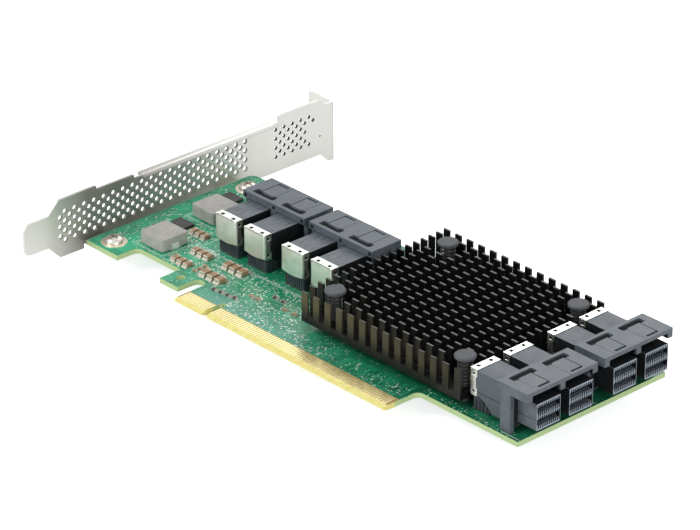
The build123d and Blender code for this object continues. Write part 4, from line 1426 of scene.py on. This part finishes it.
class CARD_OT_ceramics(bpy.types.Operator):
    """Build the ceramic capacitors with plated ends and solder"""

    bl_idname = "card.ceramics"
    bl_label = "Ceramic capacitors"
    bl_options = {"REGISTER", "UNDO"}

    def execute(self, context):
        """Places three capacitors in each row, side by side."""
        look = context.scene.card_look
        body = cast_finish("ceramic_body", look.ceramic, 0.5, patch_mm=1.5)
        ends = cast_finish("plated_ends", look.plated, 0.5, 0.3)
        shape = Shape()
        upright = Matrix.Rotation(math.radians(90), 4, "Z")
        for x, y, pitch, size in CERAMIC_ROWS:
            for i in (-1, 0, 1):
                place = Matrix.Translation((x + pitch * i, y, 0)) @ upright
                end_capped(shape, place, 1.6 * size, 1.2 * size, 1.5 * size, 0.45 * size)
        piece("ceramic_bodies", shape, [body, ends], ["ceramic_capacitors"])
        return {"FINISHED"}


def end_capped(shape, place, half_l, half_w, height, cap, body=0, ends=1):
    """A chip part: a body between two plated ends, with a foot of solder at each."""
    shape.box(cap - half_l, half_l - cap, 0.03 - half_w, half_w - 0.03, 0.04, height - 0.03, place,
              body, edge=0.05)
    for side in (-1, 1):
        inner = side * (half_l - cap)
        shape.box(*sorted((inner, side * half_l)), -half_w, half_w, 0.02, height, place, ends,
                  edge=min(0.12, height / 5))
        foot = [(side * half_l, 0.0), (side * (half_l + height * 0.35), 0.0),
                (side * half_l, height * 0.45)]
        shape.prism(foot, 0.0, 2 * half_w, place @ side_on(-half_w), ends)


class CARD_OT_small_parts(bpy.types.Operator):
    """Build the smallest resistors and capacitors"""

    bl_idname = "card.small_parts"
    bl_label = "Small parts"
    bl_options = {"REGISTER", "UNDO"}

    def execute(self, context):
        """Places the rows of small parts, dark and tan by turns."""
        look = context.scene.card_look
        dark, plated, tan = 0, 1, 2
        finishes = [cast_finish("small_part_body", look.chip, 0.5),
                    cast_finish("small_part_ends", look.plated, 0.45, 0.5),
                    cast_finish("small_capacitor_body", look.ceramic, 0.5)]
        shape = Shape()
        for row, (first, step, count) in enumerate(SMALL_ROWS):
            for i in range(count):
                place = Matrix.Translation((first[0] + step[0] * i, first[1] + step[1] * i, 0))
                end_capped(shape, place, 0.9, 0.5, 0.6, 0.3, dark if row % 2 else tan, plated)
        piece("small_bodies", shape, finishes, ["small_components"])
        return {"FINISHED"}


def pale_rays(tree):
    """One where the camera, a reflection or a clear body sees the surround, and else zero."""
    path = tree.nodes.new("ShaderNodeLightPath")
    seen = path.outputs["Is Camera Ray"]
    for ray in ("Is Glossy Ray", "Is Transmission Ray"):
        either = tree.nodes.new("ShaderNodeMath")
        either.operation = "MAXIMUM"
        tree.links.new(seen, either.inputs[0])
        tree.links.new(path.outputs[ray], either.inputs[1])
        seen = either.outputs[0]
    return seen


class CARD_OT_stage(bpy.types.Operator):
    """Set the pale floor, the lights, the world and the camera"""

    bl_idname = "card.stage"
    bl_label = "Stage"
    bl_options = {"REGISTER", "UNDO"}

    def execute(self, context):
        """Sets the stage, which isn't part of the card."""
        self.floor()
        self.lights()
        self.world()
        self.camera()
        return {"FINISHED"}

    def floor(self):
        """A wide pale floor under the card, white to the camera apart from shadow."""
        shape = Shape()
        top = CAD_BOX[0].z / MM - FLOOR_GAP
        half = FLOOR_HALF_W
        shape.box(-half, half, -half, half, top + FLOOR_GAP - FLOOR_T, top)
        mesh = shape.to_mesh("floor")
        mesh.transform(Matrix.Scale(MM, 4))
        obj = bpy.data.objects.new("floor", mesh)
        bpy.context.scene.collection.objects.link(obj)
        pale = Finish("floor_paper", 0.9, 0.0, 0.1)
        grain = pale.span(pale.noise(2.0), 0.3, 0.7)
        pale.wire(pale.mix(grain, *FLOOR_TONES), "Base Color")
        pale.shader.inputs["Emission Color"].default_value = WHITE
        camera = pale.node("ShaderNodeLightPath").outputs["Is Camera Ray"]
        glow = pale.sum(pale.sum(pale_rays(pale.tree), FLOOR_GLOW, "MULTIPLY"),
                        pale.sum(camera, FLOOR_GLOW_TO_CAMERA, "MULTIPLY"), "ADD")
        pale.wire(glow, "Emission Strength")
        mesh.materials.append(pale.material)

    def lights(self):
        """A broad key high on the left, a back light, and a low fill from the camera side."""
        for name, at, size, power in LIGHTS:
            data = bpy.data.lights.new(name, "AREA")
            data.energy = power
            data.size = size * MM
            lamp = bpy.data.objects.new(name, data)
            lamp.location = Vector(at) * MM
            aim = Vector(LIGHTS_AIM) * MM - lamp.location
            lamp.rotation_euler = aim.to_track_quat("-Z", "Y").to_euler()
            bpy.context.scene.collection.objects.link(lamp)

    def world(self):
        """An even pale surround, plain white to the camera and in reflections."""
        world = bpy.data.worlds.new("surround")
        world.use_nodes = True
        tree = world.node_tree
        back = tree.nodes["Background"]
        strength = tree.nodes.new("ShaderNodeMix")
        strength.inputs[2].default_value = WORLD_LIGHT
        strength.inputs[3].default_value = 1.0
        tree.links.new(pale_rays(tree), strength.inputs["Factor"])
        tree.links.new(strength.outputs[0], back.inputs["Strength"])
        back.inputs["Color"].default_value = WHITE
        bpy.context.scene.world = world

    def camera(self):
        """The camera of the photo, in the card's own frame."""
        data = bpy.data.cameras.new("camera")
        data.sensor_fit = "HORIZONTAL"
        data.sensor_width = SENSOR_MM
        data.lens = LENS_MM
        data.clip_start = 0.01
        camera = bpy.data.objects.new("camera", data)
        camera.location = Vector(CAMERA_AT) * MM
        camera.rotation_euler = (math.radians(90 - CAMERA_RISE), 0, math.radians(CAMERA_TURN))
        bpy.context.scene.collection.objects.link(camera)
        bpy.context.scene.camera = camera
        bpy.context.scene.view_settings.view_transform = "Standard"


STEPS = (CARD_OT_board, CARD_OT_contacts, CARD_OT_bracket, CARD_OT_screws, CARD_OT_heat_sink,
         CARD_OT_push_pins, CARD_OT_housings, CARD_OT_wafers, CARD_OT_organizers, CARD_OT_caps,
         CARD_OT_inductors, CARD_OT_chips, CARD_OT_ceramics, CARD_OT_small_parts, CARD_OT_stage)


class CARD_PT_panel(bpy.types.Panel):
    """Lists the card's colours, sizes and building steps"""

    bl_idname = "CARD_PT_panel"
    bl_label = "Adapter Card"
    bl_space_type = "VIEW_3D"
    bl_region_type = "UI"
    bl_category = "Adapter Card"

    def draw(self, context):
        """Draws the settings and one button for each step."""
        for group in (context.scene.card_look, context.scene.card_sizes):
            for name in group.bl_rna.properties.keys():
                if name not in ("rna_type", "name"):
                    self.layout.prop(group, name)
        for step in STEPS:
            self.layout.operator(step.bl_idname)


CLASSES = (CardLook, CardSizes, *STEPS, CARD_PT_panel)


def register():
    """Adds the card's settings, steps and panel."""
    for cls in CLASSES:
        bpy.utils.register_class(cls)
    bpy.types.Scene.card_look = PointerProperty(type=CardLook)
    bpy.types.Scene.card_sizes = PointerProperty(type=CardSizes)


def unregister():
    """Takes the card's settings, steps and panel away."""
    del bpy.types.Scene.card_sizes
    del bpy.types.Scene.card_look
    for cls in reversed(CLASSES):
        bpy.utils.unregister_class(cls)


def main():
    """Builds the whole card."""
    register()
    for step in STEPS:
        group, name = step.bl_idname.split(".")
        getattr(getattr(bpy.ops, group), name)()


if __name__ == "__main__":
    main()
